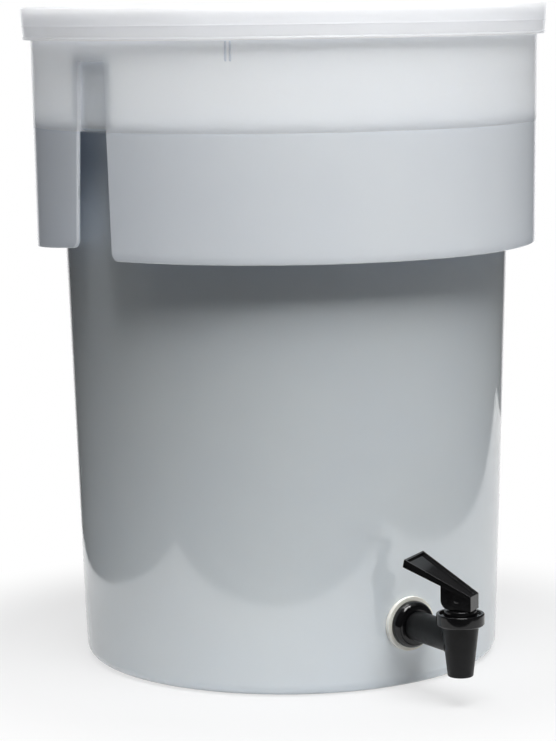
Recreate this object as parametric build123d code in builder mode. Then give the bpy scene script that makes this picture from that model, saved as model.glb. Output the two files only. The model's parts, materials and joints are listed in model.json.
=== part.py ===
from build123d import *
from math import cos, radians, sin, tan
import os

# Cold brew coffee maker: a tall drafted brewing container with a hanging skirt, a lift-off lid,
# a strainer with a paper filter inside, and a push-down tap low on the front.
# Millimetres. Origin at the middle of the base, on the surface it stands on. +Z is up and the
# tap points to -Y.

# ---------------------------------------------------------------- driving dimensions: container
body_base_radius = 140.5      # outside of the body where its draft meets the standing surface
body_draft = 1.65             # degrees, the body widens upwards
body_wall = 3.0
floor_thickness = 3.5
base_corner_radius = 8.0
base_corner_facets = 3
foot_width = 8.0              # ring that the container stands on
foot_height = 1.5             # clear space under the floor inside that ring
shoulder_height = 360.0       # underside of the shoulder that steps out to the skirt
shoulder_thickness = 3.0
skirt_depth = 80.6            # from the shoulder's underside down to the skirt's edge
skirt_gap = 16.25             # clear between the body and the skirt, at the skirt's edge
skirt_draft = 0.57            # degrees
skirt_wall = 2.8
collar_height = 72.4          # from the shoulder up to the rim
rim_bead_height = 4.0
rim_bead_width = 1.6
slot_width = 29.0             # grip slots that split the skirt into two aprons
slot_angle = -78.4            # degrees round from the tap
slot_corner_radius = 5.5
pocket_rise = 44.0            # each slot runs on above the shoulder as a pocket in the collar
pocket_depth = 3.0
rib_angle = -43.85            # pair of upright ribs under the lid, degrees round from the tap
rib_width = 1.1
rib_spacing = 2.9
rib_proud = 0.9
rib_length = 12.5
ways_round = 2                # slots and rib pairs repeat this often round the rim

# ---------------------------------------------------------------- driving dimensions: lid
lid_thickness = 2.5           # over the container's rim
lid_depth = 20.2              # from the lid's top to the edge of its skirt
lid_draft = 5.37              # degrees
lid_rim_gap = 2.85            # between the rim's bead and the lid's skirt
lid_wall = 2.0
lid_edge_chamfer = 1.2
lid_lip_depth = 1.2           # rolled lip below the lid's edge
lid_lip_proud = 0.5
lid_recess_depth = 6.2
lid_recess_wall = 2.3
lid_plug_depth = 12.0         # below the top of the lid, inside the container's collar
lid_panel_thickness = 2.2
lid_fit = 0.5                 # between the lid's plug and the collar
lid_seat_gap = 0.3            # between the rim and the lid's underside

# ---------------------------------------------------------------- driving dimensions: strainer
strainer_rim_thickness = 3.0
strainer_sleeve_depth = 22.0
strainer_sleeve_wall = 2.2
strainer_fit = 1.2            # round the sleeve and round the flange
cloth_gap = 0.3               # between soft pieces and what they hang on or stand on
mesh_thickness = 1.2
mesh_floor_gap = 18.6         # between the bag's foot and the body, clear of the shank's nut
mesh_corner = 12.0            # bevel round the bag's sewn-in base
gores = 24                    # flat panels that the mesh and the filter are sewn from
filter_gap = 1.0              # paper filter inside the mesh
filter_thickness = 0.8
filter_strap_gap = 8.0        # from the filter's edge up to the webbing loops
strap_width = 20.0
strap_loop_width = 74.0
strap_loop_drop = 44.0
strap_thickness = 1.6

# ---------------------------------------------------------------- driving dimensions: tap
tap_height = 42.8             # axis of the tap's tube above the base
spout_reach = 56.4            # from the body's outside to the spout's axis
shank_radius = 8.0
shank_bore_radius = 5.5
shank_hole_clearance = 0.4
flange_radius = 15.2
flange_edge = 1.8
flange_depth = 7.0
flange_nose_margin = 0.8      # of the flange's nose round the tube
flange_dome_steps = 3
outer_washer_radius = 17.6
outer_washer_thickness = 3.0
inner_washer_radius = 14.5
inner_washer_thickness = 2.5
washer_clearance = 0.1
washer_seat_gap = 0.15        # between the washers and the curved wall
nut_across_flats = 24.0
nut_thickness = 7.0
shank_end_proud = 1.5         # thread showing past the nut
tube_radius = 9.6
spigot_radius = 7.2
spigot_length = 5.0
spigot_clearance = 0.1
union_washer_thickness = 1.2
spout_drop = 22.7             # from the tube's axis down to the outlet
spout_outlet_radius = 8.05
spout_top_radius = 11.7
spout_bore_radius = 5.6
valve_seat_drop = 9.4         # from the tube's axis down to the seat
valve_chamber_radius = 7.6
neck_radius = 11.2
neck_height = 3.5             # threaded part of the body inside the bonnet
bonnet_tube_gap = 0.2         # between the tube's top and the bonnet
bonnet_radius = 15.2
bonnet_rim_height = 7.7
bonnet_rim_wall = 2.2
bonnet_groove_depth = 1.4     # between the bonnet's rim and its boss
bonnet_boss_radius = 10.4
bonnet_boss_rise = 2.4        # of the boss, which the handle's foot slides on, above the rim
bonnet_chamfer = 0.9
thread_clearance = 0.15
cup_rim_thickness = 0.9
cup_rim_clearance = 0.1
cup_wall = 1.3
cup_seat_gap = 0.15
stem_radius = 2.9
stem_clearance = 0.1
stem_foot_radius = 4.2
stem_foot_height = 2.4
stem_eye_width = 4.4

# ---------------------------------------------------------------- driving dimensions: handle
swivel_angle = 31.0           # degrees the handle stands turned from pointing at the container
pin_radius = 1.5
pin_press_clearance = 0.02
pin_running_clearance = 0.06
cam_offset = 4.8              # cam centre beyond the pin, towards the handle's tip
cam_radius = 5.9
cam_gap = 0.3                 # between the cam and the bonnet
block_front = 9.7             # from the pin to the block's flat front
block_width = 13.0
eye_slot_clearance = 0.3
paddle_slope = 27.9           # degrees
paddle_front_rise = 3.7       # from the pin up to the top edge of the block's front face
paddle_run = 41.3             # level length of the paddle
paddle_tip_width = 29.4
paddle_tip_thickness = 4.9
paddle_tip_lean = 1.1         # the tip's lower edge stands out this far
paddle_root_thickness = 2.6
tray_depth = 1.5
tray_rim = 1.5
tilt_limit = 28.0             # degrees the handle can be pushed down

# ---------------------------------------------------------------- derived places
slack = 5.0                   # how far cutting shapes reach past what they cut
centre = 0.0
body_growth = tan(radians(body_draft))
skirt_growth = tan(radians(skirt_draft))
floor_top = foot_height + floor_thickness
foot_radius = body_base_radius - base_corner_radius
shoulder_top = shoulder_height + shoulder_thickness
rim_height = shoulder_top + collar_height
skirt_bottom = shoulder_height - skirt_depth
pocket_top = shoulder_height + pocket_rise
quarter_turn = 90


def body_radius(height):
    """Outside radius of the drafted body at a height."""
    return body_base_radius + height * body_growth


def skirt_radius(height):
    """Outside radius of the skirt, and of the collar that it continues into."""
    edge_radius = body_radius(skirt_bottom) + skirt_gap + skirt_wall
    return edge_radius + (height - skirt_bottom) * skirt_growth


def collar_inside(height):
    """Inside radius of the skirt and collar."""
    return skirt_radius(height) - skirt_wall


def body_inside(height):
    """Inside radius of the body."""
    return body_radius(height) - body_wall


def outward(angle, distance):
    """An upright plane that faces outwards, at an angle round from the tap and a distance out."""
    out = Vector(sin(radians(angle)), -cos(radians(angle)), 0)
    return Plane(origin=out * distance, x_dir=Vector(-out.Y, out.X, 0), z_dir=out)


def round_angles(first):
    """Angles of a feature that repeats evenly round the container."""
    return [first + 360 / ways_round * index for index in range(ways_round)]


pocket_back = skirt_radius(shoulder_height) - pocket_depth
pocket_inside = pocket_back - skirt_wall
lid_plug_radius = collar_inside(rim_height) - lid_fit
lid_recess_radius = lid_plug_radius - lid_recess_wall
lid_underside = rim_height + lid_seat_gap
lid_top = lid_underside + lid_thickness
lid_bottom = lid_top - lid_depth
lip_bottom = lid_bottom - lid_lip_depth
lid_panel_top = lid_top - lid_recess_depth


def lid_radius(height):
    """Outside radius of the lid's edge at a height."""
    top_radius = skirt_radius(rim_height) + rim_bead_width + lid_rim_gap + lid_wall
    return top_radius - (lid_top - height) * tan(radians(lid_draft))


# ---------------------------------------------------------------- container
# One moulding: floor, drafted body, shoulder, collar and the skirt that hangs from it.
inner_corner = base_corner_radius - body_wall


def corner_point(turn):
    """Point on the base corner's arc, which ends on the drafted wall."""
    rise = base_corner_radius * (1 - cos(radians(turn)))
    reach = foot_radius + base_corner_radius * sin(radians(turn))
    return (reach + rise * body_growth, rise)


corner_step = quarter_turn / base_corner_facets
base_corner = [corner_point(corner_step * step) for step in range(base_corner_facets + 1)]
with BuildPart() as container:
    with BuildSketch(Plane.XZ):
        with BuildLine():
            Polyline(
                (centre, foot_height),
                (foot_radius - foot_width - foot_height, foot_height),
                (foot_radius - foot_width, 0),
                *base_corner,
                (body_radius(shoulder_height), shoulder_height),
                (collar_inside(shoulder_height), shoulder_height),
                (collar_inside(skirt_bottom), skirt_bottom),
                (skirt_radius(skirt_bottom), skirt_bottom),
                (skirt_radius(rim_height - rim_bead_height), rim_height - rim_bead_height),
                (skirt_radius(rim_height) + rim_bead_width, rim_height - rim_bead_height + rim_bead_width),
                (skirt_radius(rim_height) + rim_bead_width, rim_height),
                (collar_inside(rim_height), rim_height),
                (collar_inside(shoulder_top), shoulder_top),
                (body_inside(shoulder_top), shoulder_top),
                (body_inside(floor_top + inner_corner), floor_top + inner_corner),
                (body_inside(floor_top) - inner_corner, floor_top),
                (centre, floor_top),
                close=True,
            )
        make_face()
    revolve(axis=Axis.Z)
    # grip slots through the skirt, with rounded lower corners, and the pockets above them
    for angle in round_angles(slot_angle):
        with BuildSketch(outward(angle, pocket_inside)):
            with Locations((0, (shoulder_height + pocket_top + skirt_wall) / 2)):
                Rectangle(slot_width + 2 * skirt_wall, pocket_rise + skirt_wall)
        extrude(amount=pocket_depth + skirt_wall / 2)
        with BuildSketch(outward(angle, pocket_back)):
            with Locations((0, (shoulder_height + pocket_top) / 2)):
                Rectangle(slot_width, pocket_rise)
        extrude(amount=pocket_depth + slack, mode=Mode.SUBTRACT)
        gap_middle = (body_radius(shoulder_height) + collar_inside(skirt_bottom)) / 2
        with BuildSketch(outward(angle, gap_middle)):
            with Locations((0, (skirt_bottom - slack + shoulder_height) / 2)):
                Rectangle(slot_width, shoulder_height - skirt_bottom + slack)
            for side in (-1, 1):
                with Locations((side * (slot_width + slot_corner_radius) / 2, skirt_bottom)):
                    Rectangle(slot_corner_radius, 2 * slot_corner_radius)
            for side in (-1, 1):
                corner_x = side * (slot_width / 2 + slot_corner_radius)
                with Locations((corner_x, skirt_bottom + slot_corner_radius)):
                    Circle(slot_corner_radius, mode=Mode.SUBTRACT)
        extrude(amount=skirt_radius(shoulder_height) - gap_middle + slack, mode=Mode.SUBTRACT)
    # pairs of short upright ribs on the collar, just under the lid
    rib_top = lip_bottom - lid_seat_gap
    for angle in round_angles(rib_angle):
        rib_start = collar_inside(shoulder_height) + skirt_wall / 2
        with BuildSketch(outward(angle, rib_start)):
            with Locations((0, rib_top - rib_length / 2)):
                with GridLocations(rib_spacing, 1, 2, 1):
                    Rectangle(rib_width, rib_length)
        extrude(amount=skirt_radius(rib_top) + rib_proud - rib_start)
    # hole for the tap's shank
    with BuildSketch(outward(0, body_inside(0) - slack)):
        with Locations((0, tap_height)):
            Circle(shank_radius + shank_hole_clearance)
    extrude(amount=body_wall + 3 * slack, mode=Mode.SUBTRACT)

container.part.label = "container"

# ---------------------------------------------------------------- lid
with BuildPart() as lid:
    with BuildSketch(Plane.XZ):
        with BuildLine():
            Polyline(
                (centre, lid_panel_top),
                (lid_recess_radius, lid_panel_top),
                (lid_recess_radius + lid_panel_thickness / 2, lid_top),
                (lid_radius(lid_top) - lid_edge_chamfer, lid_top),
                (lid_radius(lid_top - lid_edge_chamfer), lid_top - lid_edge_chamfer),
                (lid_radius(lid_bottom + lid_lip_depth), lid_bottom + lid_lip_depth),
                (lid_radius(lid_bottom) + lid_lip_proud, lid_bottom),
                (lid_radius(lid_bottom), lip_bottom),
                (lid_radius(lid_bottom) - lid_wall, lip_bottom),
                (lid_radius(lid_underside) - lid_wall, lid_underside),
                (lid_plug_radius, lid_underside),
                (lid_plug_radius, lid_top - lid_plug_depth),
                (lid_recess_radius, lid_top - lid_plug_depth),
                (lid_recess_radius, lid_panel_top - lid_panel_thickness),
                (centre, lid_panel_top - lid_panel_thickness),
                close=True,
            )
        make_face()
    revolve(axis=Axis.Z)

lid.part.label = "lid"

# ---------------------------------------------------------------- strainer
sleeve_bottom = shoulder_top - strainer_sleeve_depth
sleeve_radius = body_inside(sleeve_bottom) - strainer_fit
sleeve_inside = sleeve_radius - strainer_sleeve_wall
rim_flange_radius = pocket_inside - strainer_fit
strainer_rim_top = shoulder_top + strainer_rim_thickness

# Moulded ring whose flange lies on the container's shoulder.
with BuildPart() as strainer_rim:
    with BuildSketch(Plane.XZ):
        with BuildLine():
            Polyline(
                (sleeve_inside, sleeve_bottom),
                (sleeve_radius, sleeve_bottom),
                (sleeve_radius, shoulder_top),
                (rim_flange_radius, shoulder_top),
                (rim_flange_radius, strainer_rim_top),
                (sleeve_inside, strainer_rim_top),
                close=True,
            )
        make_face()
    revolve(axis=Axis.Z)

strainer_rim.part.label = "strainer_rim"

band_bottom = sleeve_bottom
mesh_top_radius = sleeve_inside - cloth_gap
mesh_bottom = floor_top + cloth_gap
mesh_base_radius = body_inside(floor_top) - mesh_floor_gap
mesh_growth = (mesh_top_radius - mesh_base_radius) / (band_bottom - mesh_bottom)


def mesh_radius(height):
    """Outside radius of the hanging mesh bag, at the gores' corners, at a height."""
    return min(mesh_base_radius + (height - mesh_bottom) * mesh_growth, mesh_top_radius)


def gored_solid(rings):
    """Closed solid through (radius, height) rings, with one flat gore to each side."""
    with BuildPart() as bag:
        for radius, height in rings:
            with BuildSketch(Plane.XY.offset(height)):
                RegularPolygon(radius, gores)
        loft(ruled=True)
    return bag.part


def bag_rings(inset, bottom, top):
    """Rings of the bag's shape drawn in by an inset, from its bevelled base up to the top."""
    heights = [bottom, bottom + mesh_corner, *[band_bottom] * (top > band_bottom), top]
    bevels = [mesh_corner] + [0] * (len(heights) - 1)
    return [(mesh_radius(height) - inset - bevel, height) for height, bevel in zip(heights, bevels)]


# Nylon mesh bag, open at the top, that hangs from the sleeve and tapers to the floor.
mesh_inside = gored_solid(bag_rings(mesh_thickness, mesh_bottom + mesh_thickness, strainer_rim_top))
with BuildPart() as strainer_mesh:
    add(gored_solid(bag_rings(0, mesh_bottom, strainer_rim_top)))
    add(mesh_inside, mode=Mode.SUBTRACT)

strainer_mesh.part.label = "strainer_mesh"

# Webbing loop sewn inside the bag's top band, one on each side, to lift the strainer by.
strap_inset = mesh_thickness + cloth_gap
strap_outside = gored_solid(bag_rings(strap_inset, mesh_bottom, strainer_rim_top))
strap_inside = gored_solid(bag_rings(strap_inset + strap_thickness, mesh_bottom, strainer_rim_top))
strap_middle = strainer_rim_top - strap_loop_drop / 2
strap_bottom = strainer_rim_top - strap_loop_drop
with BuildPart() as strainer_strap_left:
    with BuildSketch(outward(-90, mesh_base_radius)):
        with Locations((0, strap_middle)):
            Rectangle(strap_loop_width, strap_loop_drop)
        with Locations((0, strap_middle + strap_width)):
            Rectangle(strap_loop_width - 2 * strap_width, strap_loop_drop, mode=Mode.SUBTRACT)
    extrude(amount=mesh_top_radius - mesh_base_radius)
    add(strap_outside, mode=Mode.INTERSECT)
    add(strap_inside, mode=Mode.SUBTRACT)

strainer_strap_left.part.label = "strainer_strap_left"

with BuildPart() as strainer_strap_right:
    add(strainer_strap_left.part, rotation=(0, 0, 180))

strainer_strap_right.part.label = "strainer_strap_right"

# Paper filter bag that stands open inside the mesh.
filter_inset = mesh_thickness + filter_gap
filter_bottom = mesh_bottom + mesh_thickness + cloth_gap
filter_top = strap_bottom - filter_strap_gap
filter_inside = gored_solid(
    bag_rings(filter_inset + filter_thickness, filter_bottom + filter_thickness, filter_top)
)
with BuildPart() as paper_filter:
    add(gored_solid(bag_rings(filter_inset, filter_bottom, filter_top)))
    add(filter_inside, mode=Mode.SUBTRACT)

paper_filter.part.label = "paper_filter"

# ---------------------------------------------------------------- tap: what clamps it to the wall
wall_outside = body_radius(tap_height)
wall_inside = body_inside(tap_height)
flange_back = wall_outside + outer_washer_thickness
flange_front = flange_back + flange_depth
inner_washer_face = body_inside(tap_height - inner_washer_radius) - inner_washer_thickness
nut_face = inner_washer_face - nut_thickness
shank_end = nut_face - shank_end_proud
spout_distance = wall_outside + spout_reach


def wall_frustum(inset):
    """Solid that fills the foot of the body out to an inset from its outside."""
    with BuildPart() as frustum:
        with BuildSketch(Plane.XZ):
            with BuildLine():
                Polyline(
                    (centre, 0),
                    (body_radius(0) - inset, 0),
                    (body_radius(2 * tap_height) - inset, 2 * tap_height),
                    (centre, 2 * tap_height),
                    close=True,
                )
            make_face()
        revolve(axis=Axis.Z)
    return frustum.part


# Soft washer between the flange and the curved wall.
with BuildPart() as outer_washer:
    with BuildSketch(outward(0, wall_inside)):
        with Locations((0, tap_height)):
            Circle(outer_washer_radius)
            Circle(shank_radius + washer_clearance, mode=Mode.SUBTRACT)
    extrude(amount=flange_back - wall_inside)
    add(wall_frustum(-washer_seat_gap), mode=Mode.SUBTRACT)

outer_washer.part.label = "outer_washer"

# Soft washer inside the container, between the wall and the nut.
with BuildPart() as inner_washer:
    with BuildSketch(outward(0, inner_washer_face)):
        with Locations((0, tap_height)):
            Circle(inner_washer_radius)
            Circle(shank_radius + washer_clearance, mode=Mode.SUBTRACT)
    extrude(amount=wall_outside - inner_washer_face)
    add(wall_frustum(body_wall + washer_seat_gap), mode=Mode.INTERSECT)

inner_washer.part.label = "inner_washer"

with BuildPart() as shank_nut:
    with BuildSketch(outward(0, nut_face)):
        with Locations((0, tap_height)):
            RegularPolygon(nut_across_flats / 2, 6, major_radius=False)
            Circle(shank_radius + washer_clearance, mode=Mode.SUBTRACT)
    extrude(amount=nut_thickness)

shank_nut.part.label = "shank_nut"

# Plane through the tap's axis: x runs out from the container, y is up from the axis.
tap_section = Plane(origin=(0, 0, tap_height), x_dir=(0, -1, 0), z_dir=(1, 0, 0))
tap_axis = Axis((0, 0, tap_height), (0, -1, 0))
socket_radius = spigot_radius + spigot_clearance
socket_floor = flange_front - spigot_length - union_washer_thickness
flange_nose_radius = tube_radius + flange_nose_margin
dome_step = quarter_turn / flange_dome_steps


def dome_point(turn):
    """Point on the flange's dome, from its edge at no turn to its nose at a quarter turn."""
    depth = (flange_depth - flange_edge) * sin(radians(turn))
    drop = (flange_radius - flange_nose_radius) * cos(radians(turn))
    return (flange_back + flange_edge + depth, flange_nose_radius + drop)


flange_dome = [dome_point(dome_step * step) for step in range(flange_dome_steps + 1)]

# Shank with its domed flange: the thread goes through the wall and the tap's body plugs into the front.
with BuildPart() as shank:
    with BuildSketch(tap_section):
        with BuildLine():
            Polyline(
                (flange_front, socket_radius),
                (socket_floor, socket_radius),
                (socket_floor, shank_bore_radius),
                (shank_end, shank_bore_radius),
                (shank_end, shank_radius),
                (flange_back, shank_radius),
                (flange_back, flange_radius),
                *flange_dome,
                close=True,
            )
        make_face()
    revolve(axis=tap_axis)

shank.part.label = "shank"

with BuildPart() as union_washer:
    with BuildSketch(outward(0, socket_floor)):
        with Locations((0, tap_height)):
            Circle(spigot_radius)
            Circle(shank_bore_radius, mode=Mode.SUBTRACT)
    extrude(amount=union_washer_thickness)

union_washer.part.label = "union_washer"

# ---------------------------------------------------------------- tap: body
spout_axis = Axis((0, -spout_distance, 0), (0, 0, 1))
# Plane through the spout's axis: x runs out from that axis towards +X, y is up.
spout_section = Plane(origin=(0, -spout_distance, 0), x_dir=(1, 0, 0), z_dir=(0, -1, 0))
spout_outlet_height = tap_height - spout_drop
valve_seat_height = tap_height - valve_seat_drop
chamber_floor = valve_seat_height + valve_chamber_radius - spout_bore_radius
bonnet_bottom = tap_height + tube_radius + bonnet_tube_gap
neck_top = bonnet_bottom + neck_height
spigot_end = flange_front - spigot_length
with BuildPart() as faucet_body:
    with BuildSketch(spout_section):
        with BuildLine():
            Polyline(
                (centre, spout_outlet_height),
                (spout_outlet_radius, spout_outlet_height),
                (spout_top_radius, bonnet_bottom),
                (neck_radius, bonnet_bottom),
                (neck_radius, neck_top),
                (centre, neck_top),
                close=True,
            )
        make_face()
    revolve(axis=spout_axis)
    # tube out of the flange, with the spigot that plugs into it
    with BuildSketch(outward(0, flange_front)):
        with Locations((0, tap_height)):
            Circle(tube_radius)
    extrude(amount=spout_distance - flange_front)
    with BuildSketch(outward(0, spigot_end)):
        with Locations((0, tap_height)):
            Circle(spigot_radius)
    extrude(amount=spigot_length)
    # waterway along the tube, then the valve chamber with its seat and the outlet
    with BuildSketch(outward(0, spigot_end)):
        with Locations((0, tap_height)):
            Circle(shank_bore_radius)
    extrude(amount=spout_distance - spigot_end, mode=Mode.SUBTRACT)
    with BuildSketch(spout_section):
        with BuildLine():
            Polyline(
                (centre, spout_outlet_height),
                (spout_bore_radius, spout_outlet_height),
                (spout_bore_radius, valve_seat_height),
                (valve_chamber_radius, chamber_floor),
                (valve_chamber_radius, neck_top),
                (centre, neck_top),
                close=True,
            )
        make_face()
    revolve(axis=spout_axis, mode=Mode.SUBTRACT)

faucet_body.part.label = "faucet_body"

# ---------------------------------------------------------------- tap: valve
cup_rim_bottom = neck_top + cup_rim_clearance
cup_rim_top = cup_rim_bottom + cup_rim_thickness
bonnet_ceiling = cup_rim_top + cup_rim_clearance
bonnet_rim_top = bonnet_bottom + bonnet_rim_height
bonnet_groove_floor = bonnet_rim_top - bonnet_groove_depth
bonnet_boss_top = bonnet_rim_top + bonnet_boss_rise
stem_hole_radius = stem_radius + stem_clearance

# Screwed cap that clamps the cup's rim. Its boss carries the handle's foot.
with BuildPart() as bonnet:
    with BuildSketch(spout_section):
        with BuildLine():
            Polyline(
                (stem_hole_radius, bonnet_ceiling),
                (neck_radius + thread_clearance, bonnet_ceiling),
                (neck_radius + thread_clearance, bonnet_bottom),
                (bonnet_radius - bonnet_chamfer, bonnet_bottom),
                (bonnet_radius, bonnet_bottom + bonnet_chamfer),
                (bonnet_radius, bonnet_rim_top),
                (bonnet_radius - bonnet_rim_wall, bonnet_rim_top),
                (bonnet_radius - bonnet_rim_wall, bonnet_groove_floor),
                (bonnet_boss_radius, bonnet_groove_floor),
                (bonnet_boss_radius, bonnet_boss_top),
                (stem_hole_radius, bonnet_boss_top),
                close=True,
            )
        make_face()
    revolve(axis=spout_axis)

bonnet.part.label = "bonnet"

# Silicone cup: rim under the bonnet, thin sleeve, and a solid tip that closes the seat.
cup_radius = valve_chamber_radius - cup_seat_gap
cup_tip = valve_seat_height + cup_seat_gap
cup_tip_radius = spout_bore_radius - cup_seat_gap
foot_bottom = cup_tip + cup_radius - cup_tip_radius
foot_top = foot_bottom + stem_foot_height
cup_inside = cup_radius - cup_wall
with BuildPart() as seat_cup:
    with BuildSketch(spout_section):
        with BuildLine():
            Polyline(
                (centre, cup_tip),
                (cup_tip_radius, cup_tip),
                (cup_radius, foot_bottom),
                (cup_radius, cup_rim_bottom),
                (neck_radius, cup_rim_bottom),
                (neck_radius, cup_rim_top),
                (cup_inside, cup_rim_top),
                (cup_inside, foot_top + cup_wall),
                (stem_hole_radius, foot_top + cup_wall),
                (stem_hole_radius, foot_top + stem_clearance),
                (stem_foot_radius + stem_clearance, foot_top + stem_clearance),
                (stem_foot_radius + stem_clearance, foot_bottom - stem_clearance),
                (centre, foot_bottom - stem_clearance),
                close=True,
            )
        make_face()
    revolve(axis=spout_axis)

seat_cup.part.label = "seat_cup"

# ---------------------------------------------------------------- tap: stem, pin and handle
# These stand turned about the spout's axis. On handle_side, x runs towards the handle's tip
# and y is up; across runs along the pin.
toward_tip = Vector(-sin(radians(swivel_angle)), cos(radians(swivel_angle)), 0)
across = Vector(toward_tip.Y, -toward_tip.X, 0)
upward = Vector(0, 0, 1)
handle_origin = Vector(0, -spout_distance, 0)
handle_side = Plane(origin=handle_origin, x_dir=toward_tip, z_dir=across)
block_bottom = bonnet_boss_top + cam_gap
pin_height = block_bottom + cam_radius
stem_travel = cam_offset * radians(tilt_limit)
flats_bottom = bonnet_boss_top - stem_travel - cam_gap

with BuildPart() as stem:
    with BuildSketch(spout_section):
        with BuildLine():
            Polyline(
                (centre, foot_bottom),
                (stem_foot_radius, foot_bottom),
                (stem_foot_radius, foot_top),
                (stem_radius, foot_top),
                (stem_radius, pin_height),
                (centre, pin_height),
                close=True,
            )
        make_face()
    revolve(axis=spout_axis)
    # flats on both sides, from inside the bonnet up, that leave an eye for the pin
    for side in (-1, 1):
        flat_side = handle_side.offset(side * stem_eye_width / 2)
        with BuildSketch(flat_side):
            with Locations((0, flats_bottom + pin_height / 2)):
                Rectangle(4 * stem_radius, pin_height)
        extrude(amount=side * stem_radius, mode=Mode.SUBTRACT)
    with BuildSketch(handle_side):
        with Locations((0, pin_height)):
            Circle(stem_radius)
    extrude(amount=stem_eye_width / 2, both=True)
    with BuildSketch(handle_side):
        with Locations((0, pin_height)):
            Circle(pin_radius + pin_running_clearance)
    extrude(amount=stem_eye_width, both=True, mode=Mode.SUBTRACT)

stem.part.label = "stem"

with BuildPart() as handle_pin:
    with BuildSketch(handle_side):
        with Locations((0, pin_height)):
            Circle(pin_radius)
    extrude(amount=block_width / 2, both=True)

handle_pin.part.label = "handle_pin"

block_rear = cam_offset + cam_radius
slope_rise = tan(radians(paddle_slope))
tip_reach = paddle_run - block_front
paddle_front_height = pin_height + paddle_front_rise
tip_height = paddle_front_height + paddle_run * slope_rise
rear_height = paddle_front_height + (block_front + block_rear) * slope_rise
slope_along = Vector(cos(radians(paddle_slope)), sin(radians(paddle_slope)))
paddle_length = paddle_run / slope_along.X
eye_room = stem_radius + eye_slot_clearance
eye_side = eye_room * cos(radians(tilt_limit))
eye_rise = eye_room * sin(radians(tilt_limit))
foot_room = eye_side + (cam_radius + eye_rise) * tan(radians(tilt_limit))

with BuildPart() as handle:
    # paddle: a sloping slab cut to its wedge-shaped outline
    with BuildSketch(handle_side):
        with BuildLine():
            Polyline(
                (-block_front, paddle_front_height),
                (tip_reach, tip_height),
                (tip_reach + paddle_tip_lean, tip_height - paddle_tip_thickness),
                (-block_front, paddle_front_height - paddle_root_thickness),
                close=True,
            )
        make_face()
    extrude(amount=paddle_tip_width, both=True)
    with BuildSketch(Plane(handle_origin, toward_tip, upward)):
        with BuildLine():
            Polyline(
                (-block_front, -block_width / 2),
                (tip_reach, -paddle_tip_width / 2),
                (tip_reach + paddle_tip_lean, -paddle_tip_width / 2),
                (tip_reach + paddle_tip_lean, paddle_tip_width / 2),
                (tip_reach, paddle_tip_width / 2),
                (-block_front, block_width / 2),
                close=True,
            )
        make_face()
    extrude(amount=tip_height + slack, mode=Mode.INTERSECT)
    # foot block with its cam corner
    with BuildSketch(handle_side):
        with BuildLine():
            Polyline(
                (block_rear, pin_height),
                (block_rear, rear_height - paddle_root_thickness),
                (-block_front, paddle_front_height - paddle_root_thickness),
                (-block_front, block_bottom),
                (cam_offset, block_bottom),
            )
            RadiusArc((cam_offset, block_bottom), (block_rear, pin_height), -cam_radius)
        make_face()
    extrude(amount=block_width / 2, both=True)
    # tray in the top of the paddle
    top_plane = Plane(
        handle_origin - toward_tip * block_front + upward * paddle_front_height,
        toward_tip * slope_along.X + upward * slope_along.Y,
        upward * slope_along.X - toward_tip * slope_along.Y,
    )
    tray_start = block_width / 2 - tray_rim
    tray_end = paddle_tip_width / 2 - tray_rim
    with BuildSketch(top_plane):
        with BuildLine():
            Polyline(
                (tray_rim, -tray_start),
                (paddle_length - tray_rim, -tray_end),
                (paddle_length - tray_rim, tray_end),
                (tray_rim, tray_start),
                close=True,
            )
        make_face()
    extrude(amount=-tray_depth, mode=Mode.SUBTRACT)
    # slot for the stem's eye, wider at the foot to leave room for the tilt
    with BuildSketch(handle_side):
        with BuildLine():
            Polyline(
                (-eye_room, block_bottom),
                (foot_room, block_bottom),
                (eye_side, pin_height + eye_rise),
                (-eye_room, pin_height),
                close=True,
            )
        make_face()
        with Locations((0, pin_height)):
            Circle(eye_room)
    extrude(amount=stem_eye_width / 2 + eye_slot_clearance, both=True, mode=Mode.SUBTRACT)
    with BuildSketch(handle_side):
        with Locations((0, pin_height)):
            Circle(pin_radius + pin_press_clearance)
    extrude(amount=block_width, both=True, mode=Mode.SUBTRACT)

handle.part.label = "handle"

# ---------------------------------------------------------------- write the pieces
os.makedirs("parts", exist_ok=True)
export_step(container.part, "parts/container.step")
export_step(lid.part, "parts/lid.step")
export_step(strainer_rim.part, "parts/strainer_rim.step")
export_step(strainer_mesh.part, "parts/strainer_mesh.step")
export_step(strainer_strap_left.part, "parts/strainer_strap_left.step")
export_step(strainer_strap_right.part, "parts/strainer_strap_right.step")
export_step(paper_filter.part, "parts/paper_filter.step")
export_step(outer_washer.part, "parts/outer_washer.step")
export_step(inner_washer.part, "parts/inner_washer.step")
export_step(shank_nut.part, "parts/shank_nut.step")
export_step(shank.part, "parts/shank.step")
export_step(union_washer.part, "parts/union_washer.step")
export_step(faucet_body.part, "parts/faucet_body.step")
export_step(bonnet.part, "parts/bonnet.step")
export_step(seat_cup.part, "parts/seat_cup.step")
export_step(stem.part, "parts/stem.step")
export_step(handle_pin.part, "parts/handle_pin.step")
export_step(handle.part, "parts/handle.step")
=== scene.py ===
import json
import math

import bmesh
import bpy
from mathutils import Matrix, Vector


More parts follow.
